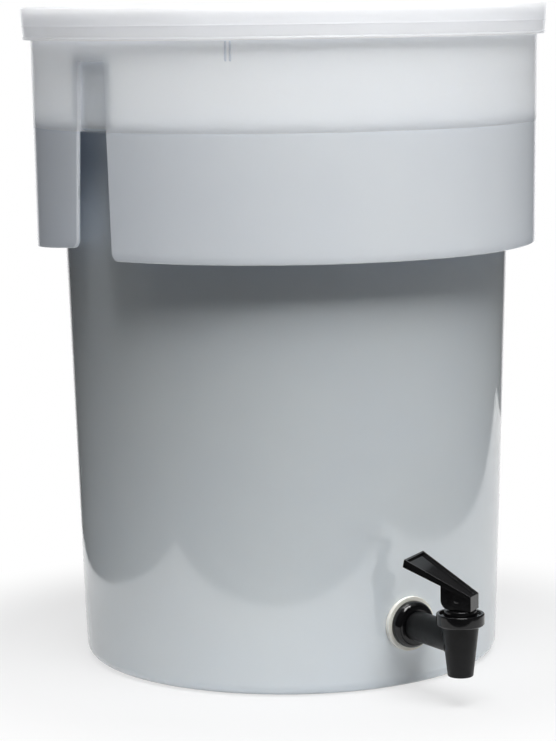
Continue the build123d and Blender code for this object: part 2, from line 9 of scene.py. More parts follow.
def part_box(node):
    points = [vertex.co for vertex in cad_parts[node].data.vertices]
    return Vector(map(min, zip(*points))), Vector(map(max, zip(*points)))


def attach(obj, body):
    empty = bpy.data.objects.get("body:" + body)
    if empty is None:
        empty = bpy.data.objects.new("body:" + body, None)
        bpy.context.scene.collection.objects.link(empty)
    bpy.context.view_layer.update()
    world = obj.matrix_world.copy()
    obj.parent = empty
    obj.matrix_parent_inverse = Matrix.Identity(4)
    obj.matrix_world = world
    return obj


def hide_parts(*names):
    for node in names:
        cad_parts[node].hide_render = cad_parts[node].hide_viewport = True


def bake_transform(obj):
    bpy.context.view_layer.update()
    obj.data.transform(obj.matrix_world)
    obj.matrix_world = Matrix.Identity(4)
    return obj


# Looks of a cold brew coffee maker: a milky plastic brewing container with a hanging skirt, a lid,
# a strainer with a paper filter inside, and a black push-down tap. Everything is in metres, in the
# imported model's frame: origin at the middle of the base, +Z up, the tap towards -Y.

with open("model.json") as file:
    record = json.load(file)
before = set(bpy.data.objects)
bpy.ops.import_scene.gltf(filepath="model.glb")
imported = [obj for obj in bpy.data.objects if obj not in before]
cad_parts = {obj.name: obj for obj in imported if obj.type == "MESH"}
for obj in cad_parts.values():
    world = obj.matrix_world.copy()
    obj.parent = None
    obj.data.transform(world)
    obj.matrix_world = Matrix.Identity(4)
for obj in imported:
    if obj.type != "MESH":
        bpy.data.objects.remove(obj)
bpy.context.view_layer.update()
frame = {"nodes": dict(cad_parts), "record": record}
MM = 0.001

# ---------------------------------------------------------------- camera
CAMERA_AZIMUTH = math.radians(32.2)      # round from -Y towards -X
CAMERA_DISTANCE = 1.73932
CAMERA_HEIGHT = 0.4369
CAMERA_PITCH = 0.1405                    # radians down
CAMERA_YAW = -0.00392
CAMERA_ROLL = -0.01365
SENSOR = 36.0
FOCAL_PIXELS = 2576.74
PHOTO_HEIGHT = 741
UP = Vector((0, 0, 1))
STUDIO_RIGHT = Vector((math.cos(CAMERA_AZIMUTH), -math.sin(CAMERA_AZIMUTH), 0))
STUDIO_AWAY = Vector((math.sin(CAMERA_AZIMUTH), math.cos(CAMERA_AZIMUTH), 0))


def turned_pair(one, other, angle):
    """Two directions at right angles, both turned by an angle in their plane."""
    cosine, sine = math.cos(angle), math.sin(angle)
    return one * cosine - other * sine, one * sine + other * cosine


def add_camera():
    """Camera where the photograph was taken from, with the lens that was fitted to it."""
    level_right, level_ahead = turned_pair(STUDIO_RIGHT, STUDIO_AWAY, CAMERA_YAW)
    ahead, tilted_up = turned_pair(level_ahead, UP, CAMERA_PITCH)
    cam_up, cam_right = turned_pair(tilted_up, level_right, CAMERA_ROLL)
    data = bpy.data.cameras.new("camera")
    data.sensor_width = SENSOR
    data.lens = FOCAL_PIXELS * SENSOR / PHOTO_HEIGHT
    camera = bpy.data.objects.new("camera", data)
    rotation = Matrix((cam_right, cam_up, -ahead)).transposed()
    place = UP * CAMERA_HEIGHT - STUDIO_AWAY * CAMERA_DISTANCE
    camera.matrix_world = Matrix.Translation(place) @ rotation.to_4x4()
    bpy.context.scene.collection.objects.link(camera)
    bpy.context.scene.camera = camera


# ---------------------------------------------------------------- materials
def principled(material):
    return material.node_tree.nodes["Principled BSDF"]


def new_material(name, color, roughness, **sockets):
    """A principled material with its constants set on the shader's own sockets."""
    material = bpy.data.materials.new(name)
    material.use_nodes = True
    inputs = principled(material).inputs
    inputs["Base Color"].default_value = (*color, 1)
    inputs["Roughness"].default_value = roughness
    for socket, value in sockets.items():
        inputs[socket.replace("_", " ")].default_value = value
    return material


def feed(tree, socket, value):
    """Sets a node's input to a value, or links another node's output to it."""
    if isinstance(value, bpy.types.NodeSocket):
        tree.links.new(value, socket)
    else:
        socket.default_value = value


def node_with(tree, kind, **inputs):
    """A new shader node whose inputs take values or other nodes' outputs."""
    node = tree.nodes.new(kind)
    for socket, value in inputs.items():
        feed(tree, node.inputs[socket.replace("_", " ")], value)
    return node


def calculated(tree, operation, *values):
    """The result of a math node on values or other nodes' outputs."""
    node = tree.nodes.new("ShaderNodeMath")
    node.operation = operation
    for socket, value in zip(node.inputs, values):
        feed(tree, socket, value)
    return node.outputs[0]


def mix_surfaces(tree, share, one, other, output="Material Output"):
    """Gives the output node a mix of two shaders."""
    mix = node_with(tree, "ShaderNodeMixShader", Fac=share)
    tree.links.new(one.outputs[0], mix.inputs[1])
    tree.links.new(other.outputs[0], mix.inputs[2])
    tree.links.new(mix.outputs[0], tree.nodes[output].inputs["Surface"])


def noise_on(material, scale, detail=3.0, stretch=(1, 1, 1)):
    """Noise fixed to the object; a stretch below 1 along an axis draws the pattern out along it."""
    tree = material.node_tree
    place = tree.nodes.new("ShaderNodeTexCoord").outputs["Object"]
    mapping = node_with(tree, "ShaderNodeMapping", Vector=place, Scale=stretch)
    noise = node_with(
        tree, "ShaderNodeTexNoise",
        Vector=mapping.outputs["Vector"], Scale=scale, Detail=detail, Roughness=0.55,
    )
    return noise.outputs["Fac"]


def map_range(tree, value, low, high, start, end):
    """A node that is low where a value is at its start and high where it is at its end."""
    return node_with(
        tree, "ShaderNodeMapRange", Value=value, From_Min=start, From_Max=end, To_Min=low, To_Max=high
    )


def ranged(material, value, low, high, start=0.3, end=0.7):
    """A pattern's value stretched to go from low to high."""
    return map_range(material.node_tree, value, low, high, start, end).outputs["Result"]


def vary_color(material, value, dark, light):
    """The base colour goes from dark to light with a pattern."""
    tree = material.node_tree
    ramp = node_with(tree, "ShaderNodeValToRGB", Fac=value)
    for element, place, color in zip(ramp.color_ramp.elements, (0.3, 0.7), (dark, light)):
        element.position = place
        element.color = (*color, 1)
    feed(tree, principled(material).inputs["Base Color"], ramp.outputs["Color"])


def vary_tone(material, value, color, dark, light, lift=0.0):
    """The base colour is darkened and lightened by two factors with a pattern."""
    vary_color(material, value, [c * dark for c in color], [min(1, c * light + lift) for c in color])


def vary_roughness(material, value, low, high):
    """The roughness goes from low to high with a pattern."""
    feed(material.node_tree, principled(material).inputs["Roughness"], ranged(material, value, low, high))


def bump(material, value, depth, strength=1.0):
    """The surface rises with a pattern by a depth in metres, on top of any bump it has."""
    tree = material.node_tree
    normal = principled(material).inputs["Normal"]
    raised = node_with(tree, "ShaderNodeBump", Strength=strength, Distance=depth, Height=value)
    if normal.is_linked:
        feed(tree, raised.inputs["Normal"], normal.links[0].from_socket)
    feed(tree, normal, raised.outputs["Normal"])


def let_light_through(material, share):
    """Mixes in a share of light that comes through from behind."""
    tree = material.node_tree
    through = node_with(tree, "ShaderNodeBsdfTranslucent", Color=(1, 1, 1, 1))
    mix_surfaces(tree, share, principled(material), through)


def milky_plastic(name, color, roughness, depth, **sockets):
    """Natural polyethylene: cloudy, waxy, and faintly uneven as it was moulded."""
    material = new_material(
        name, color, roughness, Subsurface_Weight=1.0, Subsurface_Radius=(1.0, 1.0, 1.0),
        Subsurface_Scale=depth, IOR=1.52, Specular_IOR_Level=1.0, **sockets,
    )
    vary_tone(material, noise_on(material, 14, 2), color, 0.985, 1.012)
    vary_roughness(material, noise_on(material, 60, 3), roughness * 0.8, roughness * 1.3)
    bump(material, noise_on(material, 18, 1), 0.1 * MM, 0.25)
    bump(material, noise_on(material, 900, 2), 0.008 * MM, 0.3)
    return material


def moulded_plastic(name, color, roughness, grain, **sockets):
    """Moulded plastic with a fine grain, slightly lighter and duller in places."""
    material = new_material(name, color, roughness, **sockets)
    vary_tone(material, noise_on(material, 90, 4), color, 0.85, 1.15, 0.002)
    vary_roughness(material, noise_on(material, 260, 3), roughness * 0.8, roughness * 1.25)
    bump(material, noise_on(material, 2600, 2), grain, 0.5)
    return material


def woven_cloth(name, color, pitch, depth):
    """Plain-woven threads, a pitch apart, with painted light on their tops and painted shade between them.
    """
    material = new_material(name, color, 0.55, Sheen_Weight=0.25, Sheen_Roughness=0.4)
    tree = material.node_tree
    cloth = tree.nodes.new("ShaderNodeUVMap")
    cloth.uv_map = "cloth"
    waves = []
    for axis in ("X", "Y"):
        wave = node_with(
            tree, "ShaderNodeTexWave",
            Vector=cloth.outputs["UV"], Scale=math.pi / 10 / pitch, Distortion=0.15, Detail=1.0,
        )
        wave.bands_direction = axis
        waves.append(wave.outputs["Fac"])
    weave = calculated(tree, "MAXIMUM", *waves)
    # The weave paints shade between the threads and light on their tops; the noise adds random unevenness.
    uneven = calculated(tree, "MULTIPLY_ADD", noise_on(material, 45, 4), 0.35, weave)
    vary_color(material, ranged(material, uneven, 0, 1, 0.3, 1.2), [c * 0.55 for c in color], color)
    vary_roughness(material, noise_on(material, 400, 2), 0.45, 0.7)
    bump(material, weave, depth, 0.8)
    return material


def creped_paper(name, color):
    """Unbleached paper: crosswise crepe, loose fibres and faint blotches."""
    material = new_material(name, color, 0.85, Sheen_Weight=0.1)
    vary_tone(material, noise_on(material, 35, 5), color, 0.88, 1.06)
    vary_roughness(material, noise_on(material, 300, 3), 0.75, 0.95)
    bump(material, noise_on(material, 240, 4, (1, 1, 3.5)), 0.5 * MM, 0.6)
    bump(material, noise_on(material, 1500, 3), 0.12 * MM, 0.5)
    return material


def ground_steel(name):
    """Ground steel, with fine lines along the pin."""
    material = new_material(name, (0.6, 0.6, 0.6), 0.3, Metallic=1.0)
    lines = noise_on(material, 900, 2, (1, 0.15, 1))
    vary_color(material, lines, (0.52, 0.52, 0.53), (0.66, 0.66, 0.67))
    vary_roughness(material, lines, 0.22, 0.4)
    bump(material, lines, 0.01 * MM, 0.5)
    return material


def dress(node, material):
    """Gives a CAD node its material."""
    node_object = frame["nodes"][node]
    node_object.data.materials.clear()
    node_object.data.materials.append(material)


# ---------------------------------------------------------------- sizes shared by the pieces
BODY_BASE_RADIUS = 140.5 * MM
BODY_GROWTH = math.tan(math.radians(1.65))
BODY_WALL = 3.0 * MM
FLOOR_THICKNESS = 3.5 * MM
BASE_CORNER = 8.0 * MM
FOOT_WIDTH = 8.0 * MM
FOOT_HEIGHT = 1.5 * MM
SHOULDER_HEIGHT = 360.0 * MM
SHOULDER_THICKNESS = 3.0 * MM
SKIRT_BOTTOM = 279.4 * MM
SKIRT_BOTTOM_RADIUS = 167.6 * MM
SKIRT_GROWTH = math.tan(math.radians(0.57))
SKIRT_WALL = 2.8 * MM
RIM_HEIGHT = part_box("container")[1].z
BEAD_HEIGHT = 4.0 * MM
BEAD_WIDTH = 1.6 * MM
SLOT_WIDTH = 29.0 * MM
SLOT_ANGLE = math.radians(-78.4)
SLOT_CORNER = 5.5 * MM
POCKET_TOP = 404.0 * MM
POCKET_DEPTH = 3.0 * MM
POCKET_ROUND = 4.5 * MM
SLOT_DRAFT_BEHIND = (2.4 * MM, -4.7 * MM)  # shift of the slot's edge behind, at its top and bottom
SLOT_DRAFT_AHEAD = (-2.5 * MM, 0.4 * MM)   # the same for the edge nearer the tap
DRAFT_FADE = 45 * MM
EDGE_RISE = 6.5 * MM
EDGE_RISE_LENGTH = 100 * MM
EDGE_ROUND = 0.8 * MM

floor_top = FOOT_HEIGHT + FLOOR_THICKNESS
foot_radius = BODY_BASE_RADIUS - BASE_CORNER
shoulder_top = SHOULDER_HEIGHT + SHOULDER_THICKNESS


def body_radius(height):
    return BODY_BASE_RADIUS + height * BODY_GROWTH


def body_inside(height):
    return body_radius(height) - BODY_WALL


def skirt_radius(height):
    return SKIRT_BOTTOM_RADIUS + (height - SKIRT_BOTTOM) * SKIRT_GROWTH


def collar_inside(height):
    return skirt_radius(height) - SKIRT_WALL


# ---------------------------------------------------------------- mesh helpers
def arc(centre_radius, centre_height, radius, first, last, steps):
    """Points (radius, height) on an arc whose angles, in degrees, turn from outwards to up."""
    turns = [math.radians(first + (last - first) * step / steps) for step in range(steps + 1)]
    return [
        (centre_radius + radius * math.cos(turn), centre_height + radius * math.sin(turn))
        for turn in turns
    ]


def between(first, last, steps):
    """Evenly spaced values between two ends, without the ends."""
    return [first + (last - first) * step / steps for step in range(1, steps)]


def polar(angle, radius, height):
    """The place at an angle round from -Y towards +X."""
    return radius * math.sin(angle), -radius * math.cos(angle), height


class RoundMesh:
    """Points and faces of a mesh that is built in rows round the Z axis."""

    def __init__(self):
        self.points = []
        self.faces = []

    def add(self, place):
        """Adds a point and returns its number."""
        self.points.append(tuple(place))
        return len(self.points) - 1

    def point(self, angle, radius, height):
        return self.add(polar(angle, radius, height))

    def ring(self, angles, radius, height):
        return [self.point(angle, radius, height) for angle in angles]

    def band(self, one, other, closed=False):
        """Quads between two rows of as many points."""
        for i in range(len(one) if closed else len(one) - 1):
            j = (i + 1) % len(one)
            self.faces.append((one[i], one[j], other[j], other[i]))

    def rings(self, angles, profile, start=None, inwards=None):
        """Closed bands through a profile of (radius, height); returns the last ring."""
        last = start
        for radius, height in profile:
            ring = [
                self.point(angle, radius - (inwards(angle, height) if inwards else 0), height)
                for angle in angles
            ]
            if last:
                self.band(last, ring, closed=True)
            last = ring
        return last

    def tube(self, rows):
        """Closed bands through rows of points, with a face over each end."""
        for one, other in zip(rows, rows[1:]):
            self.band(one, other, closed=True)
        self.faces += [tuple(rows[0]), tuple(rows[-1])]

    def fan(self, ring, height, y=0):
        """Closes a ring to a point at a height, on the Z axis unless a y is given."""
        hub = self.add((0, y, height))
        for i in range(len(ring)):
            self.faces.append((ring[i], ring[(i + 1) % len(ring)], hub))

    def build(self, name, material, sharp=40):
        """The mesh as an object, with smooth shading apart from edges over an angle."""
        mesh = bpy.data.meshes.new(name)
        mesh.from_pydata(self.points, [], [tuple(dict.fromkeys(face)) for face in self.faces])
        return finish_mesh(name, mesh, material, sharp)


def finish_mesh(name, mesh, material, sharp=40):
    """Cleans a mesh, makes its normals face out and its curved faces smooth, and links it."""
    maker = bmesh.new()
    maker.from_mesh(mesh)
    bmesh.ops.remove_doubles(maker, verts=maker.verts, dist=0.001 * MM)
    bmesh.ops.recalc_face_normals(maker, faces=maker.faces)
    maker.to_mesh(mesh)
    maker.free()
    mesh.polygons.foreach_set("use_smooth", [True] * len(mesh.polygons))
    mesh.set_sharp_from_angle(angle=math.radians(sharp))
    mesh.materials.append(material)
    piece = bpy.data.objects.new(name, mesh)
    bpy.context.scene.collection.objects.link(piece)
    return piece


def turned(name, profile, material, segments=240, sharp=40):
    """A closed solid turned round Z from a closed profile of (radius, height)."""
    maker = RoundMesh()
    angles = [2 * math.pi * i / segments for i in range(segments)]
    rings = [maker.ring(angles, max(radius, 0), height) for radius, height in profile]
    for i, ring in enumerate(rings):
        maker.band(ring, rings[(i + 1) % len(rings)], closed=True)
    return maker.build(name, material, sharp)


def rounded(corners, steps=4):
    """A closed profile through corners (radius, height, rounding), with the corners rounded."""
    points = []
    for i, (radius, height, size) in enumerate(corners):
        corner = Vector((radius, height))
        before = Vector(corners[i - 1][:2]) - corner
        after = Vector(corners[(i + 1) % len(corners)][:2]) - corner
        reach = min(size, before.length * 0.48, after.length * 0.48)
        if reach <= 0:
            points.append((radius, height))
            continue
        start = corner + before.normalized() * reach
        end = corner + after.normalized() * reach
        for step in range(steps + 1):
            t = step / steps
            point = start * (1 - t) ** 2 + corner * 2 * t * (1 - t) + end * t ** 2
            points.append((point.x, point.y))
    return points


def rounded_copy(node, name, width, material, angle=28):
    """A new piece with a CAD node's shape, whose sharp edges are rounded."""
    maker = bmesh.new()
    maker.from_mesh(frame["nodes"][node].data)
    bmesh.ops.remove_doubles(maker, verts=maker.verts, dist=0.001 * MM)
    bmesh.ops.dissolve_limit(
        maker, angle_limit=math.radians(0.5), verts=maker.verts, edges=maker.edges
    )
    mesh = bpy.data.meshes.new(name)
    maker.to_mesh(mesh)
    maker.free()
    piece = finish_mesh(name, mesh, material)
    rounding = piece.modifiers.new("rounding", "BEVEL")
    rounding.width = width
    rounding.segments = 3
    rounding.limit_method = "ANGLE"
    rounding.angle_limit = math.radians(angle)
    rounding.harden_normals = True
    return piece


def merged(name, pieces, material):
    """One piece made of several, which it takes the place of."""
    maker = bmesh.new()
    for piece in pieces:
        maker.from_mesh(piece.data)
        bpy.data.objects.remove(piece)
    mesh = bpy.data.meshes.new(name)
    maker.to_mesh(mesh)
    maker.free()
    return finish_mesh(name, mesh, material)


def add_thread(maker, start, end, thickness):
    """One stitch: a short thread, thick in the middle, whose ends go into the cloth."""
    outwards = Vector((start.x, start.y, 0)).normalized()
    along = (end - start).normalized()
    side = along.cross(outwards).normalized()
    out = side.cross(along)
    rows = []
    for place, share, sunk in ((0, 0.35, 1), (0.25, 0.9, 0.2), (0.75, 0.9, 0.2), (1, 0.35, 1)):
        middle = start.lerp(end, place) - outwards * thickness * sunk
        offsets = [turned_pair(side, -out, math.pi / 3 * turn)[0] for turn in range(6)]
        rows.append([maker.add(middle + offset * thickness * share) for offset in offsets])
    maker.tube(rows)


def wrap_cloth(piece, around):
    """A cloth map in metres: round the Z axis on walls, flat on level faces."""
    mesh = piece.data
    layer = mesh.uv_layers.new(name="cloth")
    for face in mesh.polygons:
        middle = math.atan2(face.center.x, -face.center.y)
        for corner in face.loop_indices:
            point = mesh.vertices[mesh.loops[corner].vertex_index].co
            if abs(face.normal.z) > 0.7:
                layer.data[corner].uv = (point.x, point.y)
                continue
            angle = math.atan2(point.x, -point.y)
            angle += 2 * math.pi * round((middle - angle) / (2 * math.pi))
            layer.data[corner].uv = (angle / (2 * math.pi) * around, point.z)
    return piece


# ---------------------------------------------------------------- container
CORNER_STEPS = 6
EDGE_STEPS = 3
SLOT_COLUMNS = 6
APRON_COLUMNS = 104
half_slot = math.asin(SLOT_WIDTH / 2 / SKIRT_BOTTOM_RADIUS)
corner_top = SKIRT_BOTTOM + SLOT_CORNER
collar_rows = between(POCKET_TOP, SHOULDER_HEIGHT, 5)
collar_ends = 1 + len(collar_rows)
skirt_rows = [SHOULDER_HEIGHT, *between(SHOULDER_HEIGHT, corner_top, 8), corner_top]


def drafted(angle, height):
    """Where a place on a plain skirt lies on the real one, whose slots widen downwards.

    The apron behind each slot also has a lower edge that rises towards the slot.
    """
    turn = math.remainder(angle - SLOT_ANGLE, math.pi)
    along = turn * SKIRT_BOTTOM_RADIUS
    half = SLOT_WIDTH / 2
    down = (POCKET_TOP - height) / (POCKET_TOP - SKIRT_BOTTOM)
    behind = SLOT_DRAFT_BEHIND[0] + (SLOT_DRAFT_BEHIND[1] - SLOT_DRAFT_BEHIND[0]) * down
    ahead = SLOT_DRAFT_AHEAD[0] + (SLOT_DRAFT_AHEAD[1] - SLOT_DRAFT_AHEAD[0]) * down
    share = min(1, max(0, (along + half) / SLOT_WIDTH))
    fade = min(1, max(0, 1 - (abs(along) - half) / DRAFT_FADE))
    angle += (behind + (ahead - behind) * share) * fade / SKIRT_BOTTOM_RADIUS
    if along < 0 and height < SHOULDER_HEIGHT:
        rise = EDGE_RISE * min(1, max(0, 1 - (-along - half) / EDGE_RISE_LENGTH))
        height += rise * (SHOULDER_HEIGHT - height) / (SHOULDER_HEIGHT - SKIRT_BOTTOM)
    return angle, height


class Apron:
    """Half of the skirt, from one grip slot round to the next, and the slot at its left."""

    def __init__(self, maker, slot_angle):
        self.maker = maker
        self.left = slot_angle + half_slot
        self.right = slot_angle + math.pi - half_slot
        corner = SLOT_CORNER / SKIRT_BOTTOM_RADIUS
        self.straight = between(self.left + corner, self.right - corner, APRON_COLUMNS)
        self.slot = between(slot_angle - half_slot, slot_angle + half_slot, SLOT_COLUMNS)

    def place(self, angle, depth, height):
        angle, height = drafted(angle, height)
        return self.maker.point(angle, skirt_radius(height) - depth, height)

    def corner(self, inset):
        """(distance from the slot's side, height) of a lower corner's points, from side to bottom."""
        radius = SLOT_CORNER - inset
        turns = [math.pi / 2 * step / CORNER_STEPS for step in range(1, CORNER_STEPS + 1)]
        return [
            (SLOT_CORNER - radius * math.cos(turn), corner_top - radius * math.sin(turn))
            for turn in turns
        ]

    def angles(self, inset):
        """Angles of the columns: side, corner, straight, corner, side."""
        sides = [inset, *[across for across, _ in self.corner(inset)]]
        left = [self.left + across / SKIRT_BOTTOM_RADIUS for across in sides]
        right = [self.right - across / SKIRT_BOTTOM_RADIUS for across in reversed(sides)]
        return [*left, *self.straight, *right]

    def border(self, inset, depth, side):
        """Points along the apron's edge, down one side, along the bottom and up the other."""
        angles = self.angles(inset)
        corner_heights = [height for _, height in self.corner(inset)]
        bottoms = [*corner_heights, *[SKIRT_BOTTOM + inset] * len(self.straight), *reversed(corner_heights)]
        return [
            *[self.place(angles[0], depth, height) for height in side],
            *[self.place(angle, depth, height) for angle, height in zip(angles[1:-1], bottoms)],
            *[self.place(angles[-1], depth, height) for height in reversed(side)],
        ]

    def make_edges(self):
        """The rounded edge round the apron, outside to inside; above the shoulder only outside."""
        outer, inner = edge_loops()
        self.sides = [[POCKET_TOP + inset, *collar_rows, *skirt_rows] for inset, _ in outer]
        self.outer = [self.border(*place, side) for place, side in zip(outer, self.sides)]
        self.inner = [self.border(*place, skirt_rows) for place in inner]
        for one, other in zip(self.outer, self.outer[1:]):
            self.maker.band(one, other)
        below = self.outer[-1][collar_ends:-collar_ends]
        for one, other in zip([below, *self.inner], self.inner):
            self.maker.band(one, other)

    def make_faces(self):
        """The apron's outside and inside; returns the top row of each."""
        outer, inner = edge_loops()
        outside = self.face(self.outer[0], *outer[0], self.sides[0])
        return outside, self.face(self.inner[-1], *inner[-1], skirt_rows)

    def face(self, border, inset, depth, side):
        """Fills inside a border with columns, and returns its top row."""
        rows = len(side)
        columns = [border[:rows]]
        for angle, bottom in zip(self.angles(inset)[1:-1], border[rows:-rows]):
            columns.append([*[self.place(angle, depth, height) for height in side], bottom])
        columns.append(border[-rows:][::-1])
        for one, other in zip(columns, columns[1:]):
            self.maker.band([*one, one[-1]][: rows + 1], [*other, other[-1]][: rows + 1])
        return [column[0] for column in columns]


def edge_loops():
    """(inset, depth) of the rows that round the skirt's edge: outside ones, then inside ones."""
    turns = [math.pi / 2 * step / EDGE_STEPS for step in range(EDGE_STEPS + 1)]
    outer = [(EDGE_ROUND * (1 - math.sin(turn)), EDGE_ROUND * (1 - math.cos(turn))) for turn in turns]
    inner = [(inset, SKIRT_WALL - depth) for inset, depth in reversed(outer)]
    return outer, inner


def pocket_profile():
    """(depth, height) down the back of the pocket above a slot, to the shoulder's underside."""
    start = SHOULDER_HEIGHT + POCKET_ROUND
    turns = [math.pi / 2 * step / 5 for step in range(6)]
    corner = [
        (POCKET_DEPTH + POCKET_ROUND * (1 - math.cos(turn)), start - POCKET_ROUND * math.sin(turn))
        for turn in turns
    ]
    return [*[(POCKET_DEPTH, height) for height in (POCKET_TOP, *between(POCKET_TOP, start, 4))], *corner]


def pocket_bulge(angle, height):
    """How far a pocket's back stands into the collar, at a place on the collar's inside."""
    slot = min(
        abs(math.remainder(angle - SLOT_ANGLE, 2 * math.pi)),
        abs(math.remainder(angle - SLOT_ANGLE - math.pi, 2 * math.pi)),
    )
    across = (half_slot + 3.2 * MM / SKIRT_BOTTOM_RADIUS - slot) * SKIRT_BOTTOM_RADIUS / MM
    up = (POCKET_TOP + 4 * MM - height) / (1.5 * MM)
    return POCKET_DEPTH * min(1, max(0, across)) * min(1, max(0, up))


def over_the_rim():
    """Profile (radius, height) up the collar's outside and round the rim."""
    bead = skirt_radius(RIM_HEIGHT) + BEAD_WIDTH
    bead_start = RIM_HEIGHT - BEAD_HEIGHT
    top = RIM_HEIGHT - EDGE_ROUND
    return [
        *[(skirt_radius(z), z) for z in between(POCKET_TOP + EDGE_ROUND, bead_start, 4)],
        (skirt_radius(bead_start), bead_start),
        *arc(bead - BEAD_WIDTH, bead_start + BEAD_WIDTH, BEAD_WIDTH, -60, 0, 4),
        *arc(bead - EDGE_ROUND, top, EDGE_ROUND, 0, 90, 4),
        *arc(collar_inside(RIM_HEIGHT) + EDGE_ROUND, top, EDGE_ROUND, 90, 180, 4),
    ]


def down_the_collar():
    """Profile down the collar's inside to its fillet on the shoulder."""
    fillet = 2.0 * MM
    heights = [*between(RIM_HEIGHT - EDGE_ROUND, POCKET_TOP + 4.5 * MM, 3)]
    heights += [POCKET_TOP + extra * MM for extra in (4.5, 4, 3.5, 3, 2.5, 1.5)]
    heights += between(POCKET_TOP + 1.5 * MM, shoulder_top + fillet, 5)
    return [
        *[(collar_inside(z), z) for z in heights],
        *arc(collar_inside(shoulder_top) - fillet, shoulder_top + fillet, fillet, 0, -90, 4),
    ]


def down_the_body():
    """Profile over the shoulder's edge, down the inside of the body and in to its middle."""
    lip = 1.2 * MM
    corner = BASE_CORNER - BODY_WALL
    edge = body_inside(shoulder_top)
    return [
        *arc(edge + lip, shoulder_top - lip, lip, 90, 180, 4),
        *[(body_inside(z), z) for z in between(shoulder_top - lip, floor_top + corner, 12)],
        *arc(body_inside(floor_top) - corner, floor_top + corner, corner, 0, -90, 6),
        *[(radius, floor_top) for radius in between(body_inside(floor_top) - corner, 0, 4)],
    ]


def under_the_shoulder():
    """Profile along the shoulder's underside, down the outside of the body and under it."""
    fillet = 3.0 * MM
    wall = body_radius(SHOULDER_HEIGHT)
    foot_inside = foot_radius - FOOT_WIDTH
    return [
        (collar_inside(SHOULDER_HEIGHT) - 1.2 * POCKET_ROUND, SHOULDER_HEIGHT),
        *arc(wall + fillet, SHOULDER_HEIGHT - fillet, fillet, 90, 180, 5),
        *[(body_radius(z), z) for z in between(SHOULDER_HEIGHT - fillet, BASE_CORNER, 16)],
        *arc(foot_radius, BASE_CORNER, BASE_CORNER, 0, -90, 8),
        (foot_inside, 0),
        (foot_inside - FOOT_HEIGHT, FOOT_HEIGHT),
        *[(radius, FOOT_HEIGHT) for radius in between(foot_inside, 0, 4)],
    ]


def join_slot(maker, before, after, under):
    """The pocket above the slot between two aprons; returns the row that the collar starts from."""
    spans = []
    for (inset, depth), one, other in zip(edge_loops()[0], before.outer, after.outer):
        middle = [after.place(angle, depth, POCKET_TOP + inset) for angle in after.slot]
        spans.append([one[-1], *middle, other[0]])
    for one, other in zip(spans, spans[1:]):
        maker.band(one, other)
    across = (before.right, *after.slot, after.left)
    rows = [[after.place(angle, *place) for angle in across] for place in pocket_profile()]
    for one, other in zip([spans[-1], *rows], rows):
        maker.band(one, other)
    maker.band(rows[-1][1:-1], under[1:-1])
    sides = (
        (before.outer[-1][: -collar_ends - 2 : -1], [loop[-1] for loop in before.inner], 0, 1),
        (after.outer[-1][: collar_ends + 1], [loop[0] for loop in after.inner], -1, -2),
    )
    for edge, tops, column, neighbour in sides:
        maker.faces.append((*edge, tops[0], *[row[column] for row in reversed(rows)]))
        web = (under[column], under[neighbour], rows[-1][neighbour], rows[-1][column])
        maker.faces.append((*tops, *web))
    return spans[0][1:-1]


def make_container(material, collar_glow_material, skirt_glow_material):
    """The container in one shell: body, shoulder, collar, and the skirt with its grip slots.

    The collar and the outside of the skirt each take a copy of the plastic with a painted glow.
    """
    maker = RoundMesh()
    aprons = [Apron(maker, SLOT_ANGLE), Apron(maker, SLOT_ANGLE + math.pi)]
    angles = [angle for apron in aprons for angle in (*apron.slot, *apron.angles(EDGE_ROUND))]
    profile = under_the_shoulder()
    under = maker.ring(angles, *profile[0])
    half = len(under) // 2
    top = []
    for index, apron in enumerate(aprons):
        apron.make_edges()
        outside, inside = apron.make_faces()
        top.append(outside)
        maker.band(inside, under[half * index + len(apron.slot) : half * (index + 1)])
    for index, apron in enumerate(aprons):
        first = half * index
        web = [under[first - 1], *under[first : first + len(apron.slot) + 1]]
        top[index] = [*join_slot(maker, aprons[index - 1], apron, web), *top[index]]
    last = maker.rings(angles, over_the_rim(), [*top[0], *top[1]])
    last = maker.rings(angles, down_the_collar(), last, pocket_bulge)
    maker.fan(maker.rings(angles, down_the_body(), last), floor_top)
    maker.fan(maker.rings(angles, profile[1:], under), FOOT_HEIGHT)
    shell = maker.build("container_shell", material)
    shell.data.materials.append(collar_glow_material)
    shell.data.materials.append(skirt_glow_material)
    # The collar's faces, and the skirt's faces that look outwards, take the copies with the painted glow.
    for face in shell.data.polygons:
        if face.center.xy.length < collar_inside(SHOULDER_HEIGHT) - 1 * MM:
            continue
        if face.center.z > SHOULDER_HEIGHT:
            face.material_index = 1
        elif face.normal.xy.dot(face.center.xy) > 0:
            face.material_index = 2
    return shell


# ---------------------------------------------------------------- lid
LID_BOTTOM = 418.0 * MM
LID_TOP_RADIUS = 175.6 * MM
LID_BOTTOM_RADIUS = 173.7 * MM
LID_WALL = 2.0 * MM
LID_LIP = 1.2 * MM
LID_LIP_PROUD = 0.45 * MM
LID_LINE_HEIGHT = 425.9 * MM
LID_LINE_WIDTH = 0.5 * MM
LID_LINE_PROUD = 0.22 * MM
LID_EDGE = 1.6 * MM
LID_RECESS_DEPTH = 6.2 * MM
LID_PANEL_THICKNESS = 2.2 * MM
LID_PLUG_DEPTH = 12.0 * MM
LID_PLUG_WALL = 2.3 * MM
LID_FIT = 0.5 * MM


